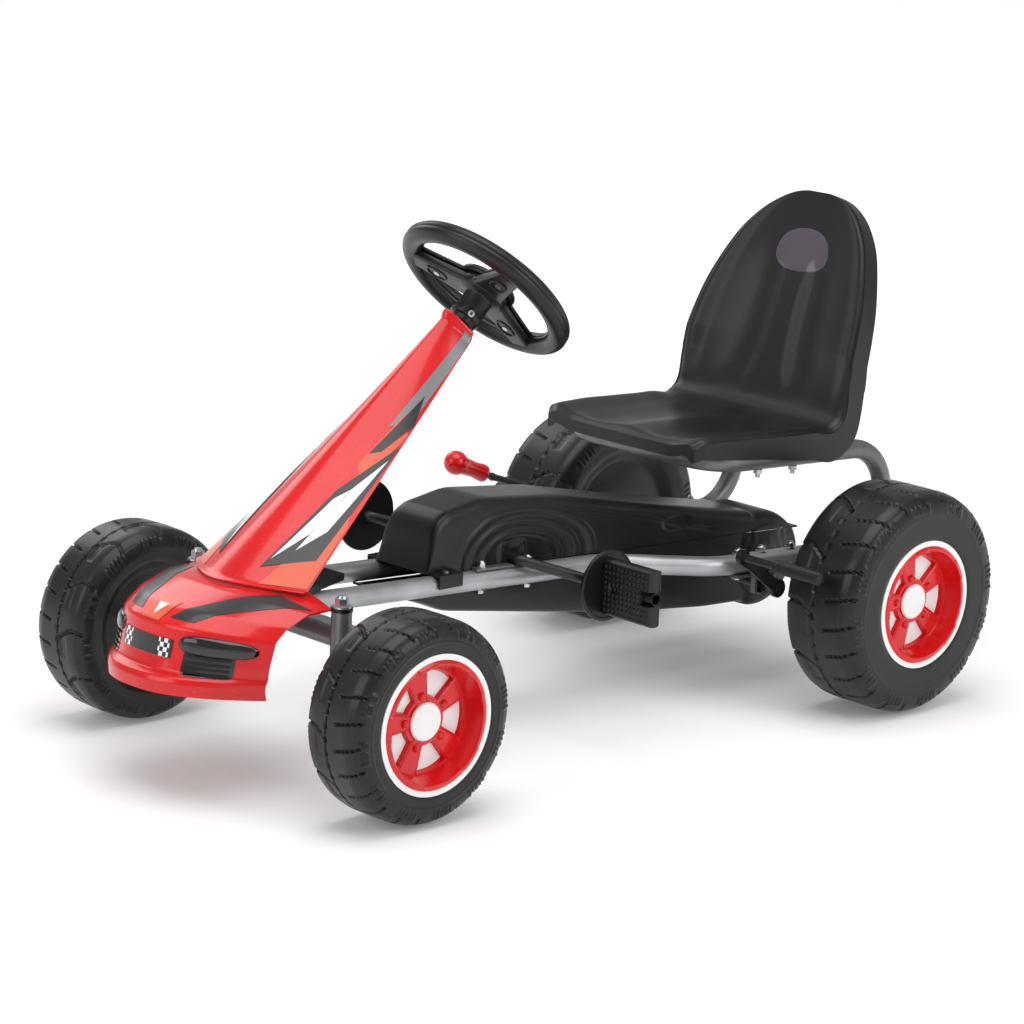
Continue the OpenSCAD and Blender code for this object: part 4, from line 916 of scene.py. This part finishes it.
def wheel_spoke(angle, low, high, hub_half, rim_half):
    """A spoke: a rounded box section that narrows evenly towards the ring."""
    along = np.linspace(20, 95, 24)[:, None]
    t = np.linspace(0, 2 * np.pi, 48, endpoint=False)[None]
    share = (along - 20) / 75
    half = hub_half + (rim_half - hub_half) * share ** 0.7
    thick = (high - low) / 2
    c, s = np.cos(t), np.sin(t)
    y = half * swell(c, 0.35)
    z = (high + low) / 2 + thick * swell(s, 0.35) * (1 - 0.18 * share)
    x = along + 0 * t
    points = np.stack([x * math.cos(angle) - y * math.sin(angle),
                       x * math.sin(angle) + y * math.cos(angle), z + WHEEL_PLANE + 0 * x], -1)
    return capped(on_column(points))


def column_turned(profile, count=48):
    """A profile of (radius, height up the column) turned about the column."""
    t = np.linspace(0, 2 * np.pi, count, endpoint=False)
    profile = np.asarray(profile, float)
    points = np.stack([profile[:, :1] * np.cos(t), profile[:, :1] * np.sin(t),
                       profile[:, 1:] + 0 * t], -1)
    return on_column(points), grid_faces(points.shape[0], count, True, True)


SPOKE_ANGLES = tuple(math.radians(a) for a in (90, 210, 330))


def wheel_front_mould():
    """Rider's side of the steering wheel: half ring, three low spokes and a round boss."""
    mould = Mould()
    mould.take(*half_ring(True))
    for angle in SPOKE_ANGLES:
        mould.take(*wheel_spoke(angle, 0.3, 6, 22, 13))
    t = np.linspace(0, np.pi / 2, 10)
    profile = np.vstack([[[1, 4.5]], [[36, 0.3]],
                         np.stack([33 + 5 * np.cos(t), 4 + 5.5 * np.sin(t)], -1), [[1, 10]]])
    points = np.stack([profile[:, 0], profile[:, 1] + WHEEL_PLANE], -1)
    mould.take(*column_turned(points, 64))
    return mould


def wheel_back_mould():
    """Under side of the steering wheel: half ring, three deep spokes with a slot round
    each screw, and the hub's collar with its flange."""
    mould = Mould()
    mould.take(*half_ring(False))
    for angle in SPOKE_ANGLES:
        mould.take(*wheel_spoke(angle, -13, -0.3, 24, 14))
    z = WHEEL_PLANE
    mould.take(*column_turned([[10.3, z - 0.4], [31, z - 0.4], [32, z - 3], [31, z - 12],
                               [28, z - 14.5], [19.5, z - 16], [18.2, z - 18], [18, z - 40],
                               [20.5, z - 42], [20.5, z - 46], [19, z - 48], [17.4, z - 49],
                               [17.2, z - 55.5], [16.4, z - 56], [10.3, z - 56]], 64))
    for angle in SPOKE_ANGLES:
        t = np.linspace(0, 2 * np.pi, 64, endpoint=False)[:, None]
        s = np.linspace(0, 2 * np.pi, 8, endpoint=False)[None]
        mx = 62 + 14 * swell(np.cos(t), 0.8)
        my = 9.5 * swell(np.sin(t), 0.8)
        x = mx + 1.2 * np.cos(s) * np.cos(t)
        y = my + 1.2 * np.cos(s) * np.sin(t)
        z_ = -12.7 + 1.2 * np.sin(s) + 0 * t
        points = np.stack([x * math.cos(angle) - y * math.sin(angle),
                           x * math.sin(angle) + y * math.cos(angle), z_ + WHEEL_PLANE], -1)
        mould.take(on_column(points), grid_faces(64, 8, True, True))
    return mould


# ---- drive and brake ---------------------------------------------------------

CRANK_REST = math.radians(-19)
CRANK_THROW = 90
PEDAL_INNER, PEDAL_WIDTH = 125, 86


def pedal_axis(side):
    """Middle of a pedal's pin, in metres: straight back from the crank's axis, lowered
    by the resting angle, and the other way on the right."""
    return np.array([side * (PEDAL_INNER + PEDAL_WIDTH / 2) * MM,
                     CRANK[1] + side * CRANK_THROW * math.cos(CRANK_REST) * MM,
                     CRANK[2] + side * CRANK_THROW * math.sin(CRANK_REST) * MM])


def pedal_mould(side):
    """A pedal: a round guard with a raised rim and a block whose two faces carry rows of
    dimples. The block's face is a height field, with its edges rounded by a smooth fall."""
    at = pedal_axis(side)
    inner = at - [side * PEDAL_WIDTH / 2 * MM, 0, 0]
    mould = Mould()
    t = np.linspace(0, np.pi / 2, 6)
    guard = np.vstack([[[7, 0.2]], [[44.2 - 1, 0.2]],
                       np.stack([43 + 1.6 * np.sin(t), 1.8 - 1.6 * np.cos(t)], -1),
                       [[44.4, 3.6], [43, 4.4], [40.5, 4.4], [39.5, 3.4], [24, 3.4], [7, 3.4]]])
    mould.take(*turned(guard * MM, inner, (side, 0, 0), 96))
    w, h, thick = PEDAL_WIDTH - 5, 70, 26
    a = np.linspace(0, 1, 110)[None]
    b = np.linspace(0, 1, 96)[:, None]
    x = a * w
    z = (b - 0.5) * h
    notch = bump_of(np.maximum(np.abs(x - w) - 15, np.abs(z) - 9), 2)
    edge = np.minimum(np.minimum(x + 3, w - x), np.minimum(z + h / 2, h / 2 - z))
    fall = np.sqrt(np.clip(1 - (1 - np.clip(edge / 5, 0, 1)) ** 2, 0, 1))
    dimple = np.hypot((x + 3.4) % 6.8 - 3.4, (z + 3.4) % 6.8 - 3.4)
    field = bump_of(5 - edge, 2)
    slot = bump_of(np.maximum(np.abs(x - 20) - 9, np.abs(z) - 4), 1.5)
    boss = np.sqrt(np.clip(7.4 ** 2 - z ** 2, 0, None)) * bump_of(w - 18 - x, 2) + 0 * x
    height = (thick / 2 - 2.2) * (0.25 + 0.75 * fall) - 1.1 * bump_of(dimple - 1.7, 1.2) * field \
        - 2.5 * slot * field
    height = np.where(notch > 0.5, np.maximum(boss, 1.5), height)
    rows, columns = height.shape
    face = np.stack(np.broadcast_arrays(x, height, z), -1)
    rear = face * [1, -1, 1]
    both = np.concatenate([face.reshape(-1, 3), rear.reshape(-1, 3)])
    both[:, 0] = both[:, 0] + 4
    points = inner + both * [side, 1, 1] * MM
    faces = grid_faces(rows, columns)
    index = np.arange(rows * columns).reshape(rows, columns)
    rim_edge = np.concatenate([index[0, :-1], index[:-1, -1], index[-1, :0:-1], index[:0:-1, 0]])
    after = np.roll(rim_edge, -1)
    rim = np.stack([after, rim_edge, rim_edge + rows * columns, after + rows * columns], -1)
    mould.take(points, np.concatenate([faces, faces[:, ::-1] + rows * columns, rim]))
    return mould


def crank_mould():
    """The bent rod: a round section carried along a path with rounded corners."""
    out = np.array([0, CRANK_THROW * math.cos(CRANK_REST), CRANK_THROW * math.sin(CRANK_REST)])
    line = [-out + [-(PEDAL_INNER + PEDAL_WIDTH - 1), 0, 0], -out + [-(PEDAL_INNER - 6), 0, 0],
            [-60, 0, 0], [60, 0, 0], out + [PEDAL_INNER - 6, 0, 0],
            out + [PEDAL_INNER + PEDAL_WIDTH - 1, 0, 0]]
    mould = Mould()
    mould.take(*tube(CRANK + bent(line, 16) * MM, 6.5 * MM, 32))
    return mould


def rail_frame(points):
    """Points of the rails' tilted plane (across, back, above), as places in metres."""
    points = np.asarray(points, float)
    c, s = math.cos(RAIL_FALL), math.sin(RAIL_FALL)
    x, y, z = points.T
    return np.stack([x, FRONT[1] / MM + y * c + z * s, 203 - y * s + z * c], -1) * MM


RAIL_X, RAIL_X_REAR, RAIL_BEND, RAIL_BACK, HOOP_R = 50, 131, 493, 858, 66
RAIL_TURN = (RAIL_X_REAR - RAIL_X) / math.tan(math.radians(32.5))


def rail_mould():
    """The left rail: a round tube carried along a path with two bends, open in front."""
    line = bent([[RAIL_X, -105, 0], [RAIL_X, RAIL_BEND, 0],
                 [RAIL_X_REAR, RAIL_BEND + RAIL_TURN, 0], [RAIL_X_REAR, RAIL_BACK - 1, 0]], 90, 14)
    mould = Mould()
    mould.take(*tube(rail_frame(line), 12.5 * MM, 40))
    return mould


def hoop_mould():
    """The seat hoop: behind the axle it turns up through a half circle, runs forward
    under the seat on both sides and closes across the front."""
    t = np.linspace(-np.pi / 2, np.pi / 2, 28)
    arc = np.stack([np.full(28, RAIL_X_REAR), RAIL_BACK + HOOP_R * np.cos(t),
                    HOOP_R + HOOP_R * np.sin(t)], -1)
    top = 2 * HOOP_R
    corner = bent([arc[-1], [RAIL_X_REAR, 600, top], [0, 600, top]], 55, 12)[1:]
    half = np.vstack([arc, corner])
    whole = np.vstack([half, (half * [-1, 1, 1])[-2::-1]])
    mould = Mould()
    mould.take(*tube(rail_frame(whole), 12.5 * MM, 40))
    return mould


def sleeve_mould():
    """A ribbed sleeve: its radius rises by 1 mm in eighteen rounded ribs along it."""
    low, high = corners("brake_sleeves")
    x0, x1 = high[0] - 75.5 * MM, high[0]
    mid = (low + high) / 2
    along = np.linspace(0, 1, 200)
    ribs = 0.5 + 0.5 * np.cos(along * 18 * 2 * np.pi)
    r = (7.9 + 1.0 * ribs ** 0.6) * np.clip(np.minimum(along, 1 - along) / 0.02, 0, 1) ** 0.5
    profile = np.stack([np.maximum(r, 0.3) * MM, along * (x1 - x0)], -1)
    mould = Mould()
    mould.take(*domed(profile, (x0, mid[1], mid[2]), (1, 0, 0), 40))
    return mould


def grip_mould():
    """The lever's grip: a waisted handle that ends in a round knob, turned about the
    lever's last stretch."""
    a, b = np.array([545, 236.0]), np.array([486, 260.0])
    start, end = a + 0.25 * (b - a), b + 0.1 * (b - a)
    reach = np.linalg.norm(end - start)
    axis = np.array([0, *(end - start)]) / reach
    t = np.linspace(0, np.pi, 30)
    knob = np.stack([15.8 * np.sin(t), reach - 15.8 * np.cos(t)], -1)
    knob = knob[knob[:, 1] > reach - 10]
    handle = [[0.3, 0], [10, 0], [11.6, 1.5], [11.8, 6], [10.6, 16], [10.4, 24], [11.4, 34]]
    profile = np.vstack([handle, knob])
    mould = Mould()
    low, high = corners("brake_grip")
    mould.take(*domed(profile * MM, ((low[0] + high[0]) / 2, FRONT[1] + start[0] * MM,
                                     start[1] * MM), axis, 48))
    return mould


# ---- properties --------------------------------------------------------------

class KartSizes(bpy.types.PropertyGroup):
    """Sizes of the surface detail."""

    tread: bpy.props.FloatProperty(
        name="Tread depth", description="Depth of the tread's grooves",
        default=0.0030, min=0.0, max=0.004, unit="LENGTH", subtype="DISTANCE")
    film: bpy.props.FloatProperty(
        name="Film lift", description="Height of the printed films over the plastic",
        default=0.0003, min=0.0001, max=0.001, unit="LENGTH", subtype="DISTANCE")
    floor: bpy.props.FloatProperty(
        name="Floor size", description="Half the width of the floor",
        default=14.0, min=2.0, max=40.0, unit="LENGTH", subtype="DISTANCE")


class KartColours(bpy.types.PropertyGroup):
    """Colours of the main finishes."""

    red: bpy.props.FloatVectorProperty(
        name="Red", description="Covers and rims", subtype="COLOR",
        default=(0.70, 0.004, 0.006), min=0.0, max=1.0)
    black: bpy.props.FloatVectorProperty(
        name="Black", description="Seat, case and wheels", subtype="COLOR",
        default=(0.0105, 0.0108, 0.012), min=0.0, max=1.0)
    white: bpy.props.FloatVectorProperty(
        name="White", description="Wheel discs and caps", subtype="COLOR",
        default=(0.86, 0.86, 0.86), min=0.0, max=1.0)
    frame: bpy.props.FloatVectorProperty(
        name="Frame grey", description="Paint of the hoop and brackets", subtype="COLOR",
        default=(0.20, 0.20, 0.21), min=0.0, max=1.0)
    floor: bpy.props.FloatVectorProperty(
        name="Floor", description="Floor under the kart", subtype="COLOR",
        default=(0.90, 0.90, 0.90), min=0.0, max=1.0)


def sizes():
    """The scene's sizes."""
    return bpy.context.scene.kart_sizes


# ---- operators ---------------------------------------------------------------

# The camera's own axes and its place behind the front axle, in metres
CAMERA_LENS = 124.06
CAMERA_RIGHT = (0.68543491, 0.72683003, 0.04355563)
CAMERA_UP = (-0.19755627, 0.12806386, 0.97189051)
CAMERA_BACK = (0.70082131, -0.67477237, 0.23136927)
CAMERA_PLACE = np.array([3.03443, -2.53611, 1.25341])

# Name, place, width and power of each soft box
SOFT_BOXES = (("top", (0.3, -0.3, 3.4), 3.0, 78), ("left", (3.2, 0.8, 2.0), 2.0, 40),
              ("front", (-0.6, -3.6, 2.0), 2.2, 34), ("right", (-3.0, 0.4, 2.2), 1.8, 20))


def placed(right, up, back, place):
    """The matrix of an object from its three axes and its place."""
    return Matrix([[right[i], up[i], back[i], place[i]] for i in range(3)] + [[0, 0, 0, 1]])


class KartStage(bpy.types.Operator):
    """Camera, floor and studio light"""

    bl_idname = "kart.stage"
    bl_label = "Stage"

    def execute(self, context):
        scene = context.scene
        camera = bpy.data.cameras.new("camera")
        camera.lens, camera.sensor_width = CAMERA_LENS, 36
        obj = bpy.data.objects.new("camera", camera)
        place = CAMERA_PLACE + (0, FRONT[1], 0)
        obj.matrix_world = placed(CAMERA_RIGHT, CAMERA_UP, CAMERA_BACK, place)
        scene.collection.objects.link(obj)
        scene.camera = obj
        scene.view_settings.view_transform = "Standard"
        self.floor(context)
        self.lights(scene)
        return {"FINISHED"}

    def floor(self, context):
        """A flat floor with a very slow change of tone. It glows with painted light: dim near the
        kart, so that shadows show there, and bright further away.
        """
        half = sizes().floor
        a = np.linspace(-half, half, 9)
        points = np.stack(np.meshgrid(a, a, [-0.0006], indexing="ij"), -1).reshape(-1, 3)
        mesh = bpy.data.meshes.new("floor")
        mesh.from_pydata(points, [], grid_faces(9, 9).tolist())
        obj = bpy.data.objects.new("floor", mesh)
        f = Finish("floor", Emission_Strength=1.0)
        x, y, _ = f.axes()
        # Painted light: the floor's glow rises from dim within about 0.9 m of the kart to bright
        # beyond about 2.8 m
        far = f.ramp(x * x + y * y, 0.8, 8.0)
        colour = tuple(context.scene.kart_colours.floor)
        cloud = f.noise(0.7, 2)
        f.use(Base_Color=f.blend(cloud, tuple(c * 0.985 for c in colour), colour),
              Emission_Color=f.blend(far, (0.12, 0.12, 0.12), (0.60, 0.60, 0.60)),
              Roughness=0.62 + cloud * 0.1)
        mesh.materials.append(f.material)
        context.scene.collection.objects.link(obj)

    def lights(self, scene):
        """Four broad soft boxes and a pale sky that is brightest at the horizon."""
        world = bpy.data.worlds.new("studio")
        world.use_nodes = True
        sky = world.node_tree.nodes["Background"]
        sky.inputs["Color"].default_value = (1, 1, 1, 1)
        nodes, links = world.node_tree.nodes, world.node_tree.links
        height = nodes.new("ShaderNodeSeparateXYZ")
        links.new(nodes.new("ShaderNodeTexCoord").outputs["Generated"], height.inputs[0])
        fall = nodes.new("ShaderNodeMapRange")
        links.new(height.outputs["Z"], fall.inputs["Value"])
        for socket, value in (("From Min", 0.04), ("From Max", 0.14), ("To Min", 0.97),
                              ("To Max", 0.42)):
            fall.inputs[socket].default_value = value
        links.new(fall.outputs["Result"], sky.inputs["Strength"])
        scene.world = world
        for name, place, size, power in SOFT_BOXES:
            light = bpy.data.lights.new(name, "AREA")
            light.energy, light.size, light.shape = power, size, "SQUARE"
            obj = bpy.data.objects.new(name, light)
            back = np.array(place) - (0, 0, 0.25)
            back /= np.linalg.norm(back)
            right = np.cross([0.001, 1, 0], back)
            right /= np.linalg.norm(right)
            up = np.cross(back, right)
            obj.matrix_world = placed(right, up, back, place)
            scene.collection.objects.link(obj)


class KartWheels(bpy.types.Operator):
    """Tyres, rims, discs and caps of the four wheels"""

    bl_idname = "kart.wheels"
    bl_label = "Wheels"

    def execute(self, context):
        for end in ("front", "rear"):
            wheel = Wheel(end)
            for part, mould, material in (("tyre", tyre_mould(wheel, sizes().tread),
                                           "wheel_plastic"),
                                          ("rim", rim_mould(wheel), "red_plastic"),
                                          ("cap", cap_mould(wheel), "white_plastic")):
                for side, body in (("left", wheel.body_left), ("right", wheel.body_right)):
                    node = f"{end}_{side}_{part}"
                    shape = mould if side == "left" else mould.mirrored()
                    slot = {"tyre": "wheel_plastic", "rim": "red_plastic",
                            "cap": "white_plastic"}[part]
                    shape.piece(f"{node}_moulded", finish(material), body, (node,), slot, 35)
        return {"FINISHED"}


class KartNose(bpy.types.Operator):
    """Nose with its lamps, grilles, plate and films"""

    bl_idname = "kart.nose"
    bl_label = "Nose"

    def execute(self, context):
        nose_mould().piece("nose_skin", finish("red_plastic"), "chassis", ("nose_body",),
                           "red_plastic")
        lift = sizes().film
        lamps, grilles = Mould(), Mould()
        for side in (1, -1):
            lamps.take(*patch(nose, (side * 0.66, 0.625), (0.27, 0.052), 0.72, 0.8, 5.5))
            lamps.take(*patch(nose, (side * 0.63, 0.735), (0.185, 0.082), 0.34, 0.5, 0.3))
            for k in range(4):
                low = 0.678 + k * 0.034
                grilles.take(*flash(nose, [(side * 0.47, low), (side * 0.79, low),
                                           (side * 0.79, low + 0.014), (side * 0.47, low + 0.014)],
                                    2.4 * MM, 4, 30))
        lamps.piece("lamp_lenses", finish("lens_plastic"), "chassis", ("headlights",),
                    "lens_plastic")
        grilles.piece("grille_slats", finish("black_plastic"), "chassis", ("grilles",),
                      "black_plastic")
        plate = Mould()
        plate.take(*flash(nose, [(-0.335, 0.62), (0.335, 0.62), (0.325, 0.715), (-0.325, 0.715)],
                          0.9 * MM, 30, 80))
        plate.piece("number_plate_film", finish("number_plate"), "chassis", ("number_plate",),
                    "plate_plastic")
        films = {"stripe_film": Mould(), "orange_film": Mould(), "white_film": Mould()}
        for side in (1, -1):
            films["stripe_film"].take(*flash(
                nose, [(side * 0.62, 0.13), (side * 0.97, 0.17), (side * 0.44, 0.51),
                       (side * 0.20, 0.51)], lift))
        films["orange_film"].take(*flash(nose, [(-0.15, 0.415), (0.15, 0.415), (0.12, 0.545),
                                                (-0.12, 0.545)], lift + 0.2 * MM))
        films["white_film"].take(*flash(nose, [(-0.06, 0.45), (0.06, 0.45), (0.0, 0.52),
                                               (0.0, 0.52)], lift + 0.5 * MM, 12, 12))
        for name, mould in films.items():
            mould.piece(f"nose_{name}", finish(name), "chassis")
        return {"FINISHED"}


class KartColumnCover(bpy.types.Operator):
    """Column cover with the pointed flashes on its sides"""

    bl_idname = "kart.column_cover"
    bl_label = "Column cover"

    def execute(self, context):
        cover_mould().piece("column_cover_skin", finish("red_plastic"), "chassis",
                            ("column_cover",), "red_plastic")
        lift = sizes().film
        films = (
            ("grey_film", [[(0.80, 0.985), (0.985, 0.985), (0.93, 0.66), (0.66, 0.60)]], 0.0),
            ("orange_film", [[(0.52, 0.015), (0.985, 0.02), (0.985, 0.25), (0.86, 0.34)],
                             [(0.62, 0.46), (0.76, 0.66), (0.985, 0.60), (0.80, 0.40)]], 0.0),
            ("black_film", [[(0.40, 0.07), (0.60, 0.36), (0.985, 0.56), (0.90, 0.12)],
                            [(0.66, 0.50), (0.86, 0.74), (0.985, 0.64), (0.80, 0.52)]], 0.25),
            ("white_film", [[(0.45, 0.10), (0.64, 0.33), (0.78, 0.38), (0.66, 0.20)],
                            [(0.64, 0.14), (0.74, 0.36), (0.95, 0.50), (0.82, 0.22)]], 0.5),
        )
        for name, quads, extra in films:
            mould = Mould()
            for side in (1, -1):
                for quad in quads:
                    mould.take(*flash(cover, [(side * a, b) for a, b in quad],
                                      lift + extra * MM, 30, 20))
            mould.piece(f"cover_{name}", finish(name), "chassis")
        return {"FINISHED"}


class KartCase(bpy.types.Operator):
    """Chain case with its ribs and its fixing flange"""

    bl_idname = "kart.case"
    bl_label = "Chain case"

    def execute(self, context):
        upper = case_mould(True)
        line = rail_line(228)
        for side in (1, -1):
            upper.take(*cushion_box((side * 55 * MM, FRONT[1] + 228 * MM, (line + 14.6) * MM),
                                    (10 * MM, 19 * MM, 1.6 * MM), 1.2 * MM))
            upper.take(*cushion_box((side * 64.4 * MM, FRONT[1] + 228 * MM, (line + 7.6) * MM),
                                    (1.3 * MM, 19 * MM, 8.4 * MM), 1.1 * MM))
        upper.piece("chain_cover_skin", finish("black_plastic"), "chassis", ("chain_cover",),
                    "black_plastic")
        case_mould(False).piece("chain_tray_skin", finish("black_plastic"), "chassis",
                                ("chain_tray",), "black_plastic")
        return {"FINISHED"}


class KartSeat(bpy.types.Operator):
    """Seat shell and its badge"""

    bl_idname = "kart.seat"
    bl_label = "Seat"

    def execute(self, context):
        seat_mould().piece("seat_moulding", finish("seat_plastic"), "chassis", ("seat_shell",),
                           "black_plastic", 50)
        a = np.linspace(0, 2 * np.pi, 64, endpoint=False)[None]
        ring = np.linspace(0.02, 1, 10)[:, None]
        u = 0.30 * ring * swell(np.cos(a), 0.85)
        v = 0.848 + 0.048 * ring * swell(np.sin(a), 0.85)
        points = seat(u, v)
        points[..., 1] -= 1.1 * MM * (1 - ring ** 8)
        low = points[-1:] + [0, 1.2 * MM, 0]
        badge = Mould()
        badge.take(*capped(np.concatenate([points, low])))
        badge.piece("badge", finish("badge_film"), "chassis", ("seat_badge",), "badge_plastic")
        return {"FINISHED"}


class KartSteeringWheel(bpy.types.Operator):
    """Both halves of the steering wheel"""

    bl_idname = "kart.steering_wheel"
    bl_label = "Steering wheel"

    def execute(self, context):
        wheel_front_mould().piece("steering_wheel_top", finish("black_plastic"), "steering",
                                  ("steering_wheel_front",), "black_plastic", 50)
        wheel_back_mould().piece("steering_wheel_under", finish("black_plastic"), "steering",
                                 ("steering_wheel_back",), "black_plastic", 50)
        return {"FINISHED"}


class KartPedals(bpy.types.Operator):
    """Bent crank rod and both pedals"""

    bl_idname = "kart.pedals"
    bl_label = "Crank and pedals"

    def execute(self, context):
        crank_mould().piece("crank_rod", finish("black_paint"), "crank", ("crankshaft",),
                            "black_steel")
        for side, name in ((1, "left"), (-1, "right")):
            pedal_mould(side).piece(f"pedal_{name}_moulding", finish("black_plastic"),
                                    f"pedal_{name}", (f"pedal_{name}",), "black_plastic", 45)
        return {"FINISHED"}


class KartTubes(bpy.types.Operator):
    """Both rails and the seat hoop"""

    bl_idname = "kart.tubes"
    bl_label = "Rails and hoop"

    def execute(self, context):
        rail = rail_mould()
        rail.piece("rail_left_tube", finish("rail_steel"), "chassis", ("rail_left",),
                   "rail_steel")
        rail.mirrored().piece("rail_right_tube", finish("rail_steel"), "chassis",
                              ("rail_right",), "rail_steel")
        hoop_mould().piece("seat_hoop_tube", finish("hoop_paint"), "chassis", ("seat_hoop",),
                           "grey_steel")
        return {"FINISHED"}


class KartBrake(bpy.types.Operator):
    """Ribbed brake sleeves and the lever's grip"""

    bl_idname = "kart.brake"
    bl_label = "Brake"

    def execute(self, context):
        sleeves = sleeve_mould()
        other = sleeves.mirrored()
        sleeves.points += other.points
        sleeves.faces += [[k + sleeves.count for k in f] for f in other.faces]
        sleeves.piece("brake_sleeves_ribbed", finish("black_plastic"), "brake",
                      ("brake_sleeves",), "black_plastic", 60)
        grip_mould().piece("brake_grip_moulding", finish("red_plastic"), "brake",
                           ("brake_grip",), "red_plastic", 60)
        return {"FINISHED"}


class KartMetalParts(bpy.types.Operator):
    """Finishes of the parts kept from the CAD model"""

    bl_idname = "kart.metal_parts"
    bl_label = "Metal and small parts"

    def execute(self, context):
        kept = {
            "hoop_paint": ["front_beam", "column_support", "crank_hangers", "axle_hangers",
                           "brake_hangers", "knuckle_left", "knuckle_right"],
            "chrome": ["steering_column"],
            "zinc_steel": ["seat_bolts", "frame_bolts", "cover_screws", "steering_screws",
                           "steering_link", "kingpin_nuts_left", "kingpin_nuts_right",
                           "rear_axle", "rear_axle_nuts"],
            "chain_steel": ["drive_chain", "crank_sprocket", "axle_sprocket"],
            "black_paint": ["brake_shaft"],
            "black_plastic": ["kingpin_bushes", "column_bushes", "shaft_bushes",
                              "hood_rear_cap"],
            "white_plastic": [f"{end}_{side}_disc" for end in ("front", "rear")
                              for side in ("left", "right")],
        }
        for name, nodes in kept.items():
            for node in nodes:
                obj = frame["nodes"][node]
                for slot in obj.material_slots:
                    slot.material = finish(name)
        return {"FINISHED"}


OPERATORS = (KartStage, KartWheels, KartNose, KartColumnCover, KartCase, KartSeat,
             KartSteeringWheel, KartPedals, KartTubes, KartBrake, KartMetalParts)


class KartPanel(bpy.types.Panel):
    """Lists the sizes, the colours and one button for each piece"""

    bl_idname = "VIEW3D_PT_kart"
    bl_label = "Pedal go kart"
    bl_space_type = "VIEW_3D"
    bl_region_type = "UI"
    bl_category = "Kart"

    def draw(self, context):
        for group in (context.scene.kart_sizes, context.scene.kart_colours):
            box = self.layout.box()
            for key in group.__annotations__:
                box.prop(group, key)
        for operator in OPERATORS:
            self.layout.operator(operator.bl_idname)


CLASSES = (KartSizes, KartColours, KartPanel) + OPERATORS


def register():
    for cls in CLASSES:
        bpy.utils.register_class(cls)
    bpy.types.Scene.kart_sizes = bpy.props.PointerProperty(type=KartSizes)
    bpy.types.Scene.kart_colours = bpy.props.PointerProperty(type=KartColours)


def unregister():
    del bpy.types.Scene.kart_sizes
    del bpy.types.Scene.kart_colours
    for cls in reversed(CLASSES):
        bpy.utils.unregister_class(cls)


def main():
    """Builds the whole kart."""
    register()
    make_finishes(bpy.context.scene.kart_colours)
    for operator in OPERATORS:
        family, name = operator.bl_idname.split(".")
        getattr(getattr(bpy.ops, family), name)()


if __name__ == "__main__":
    main()
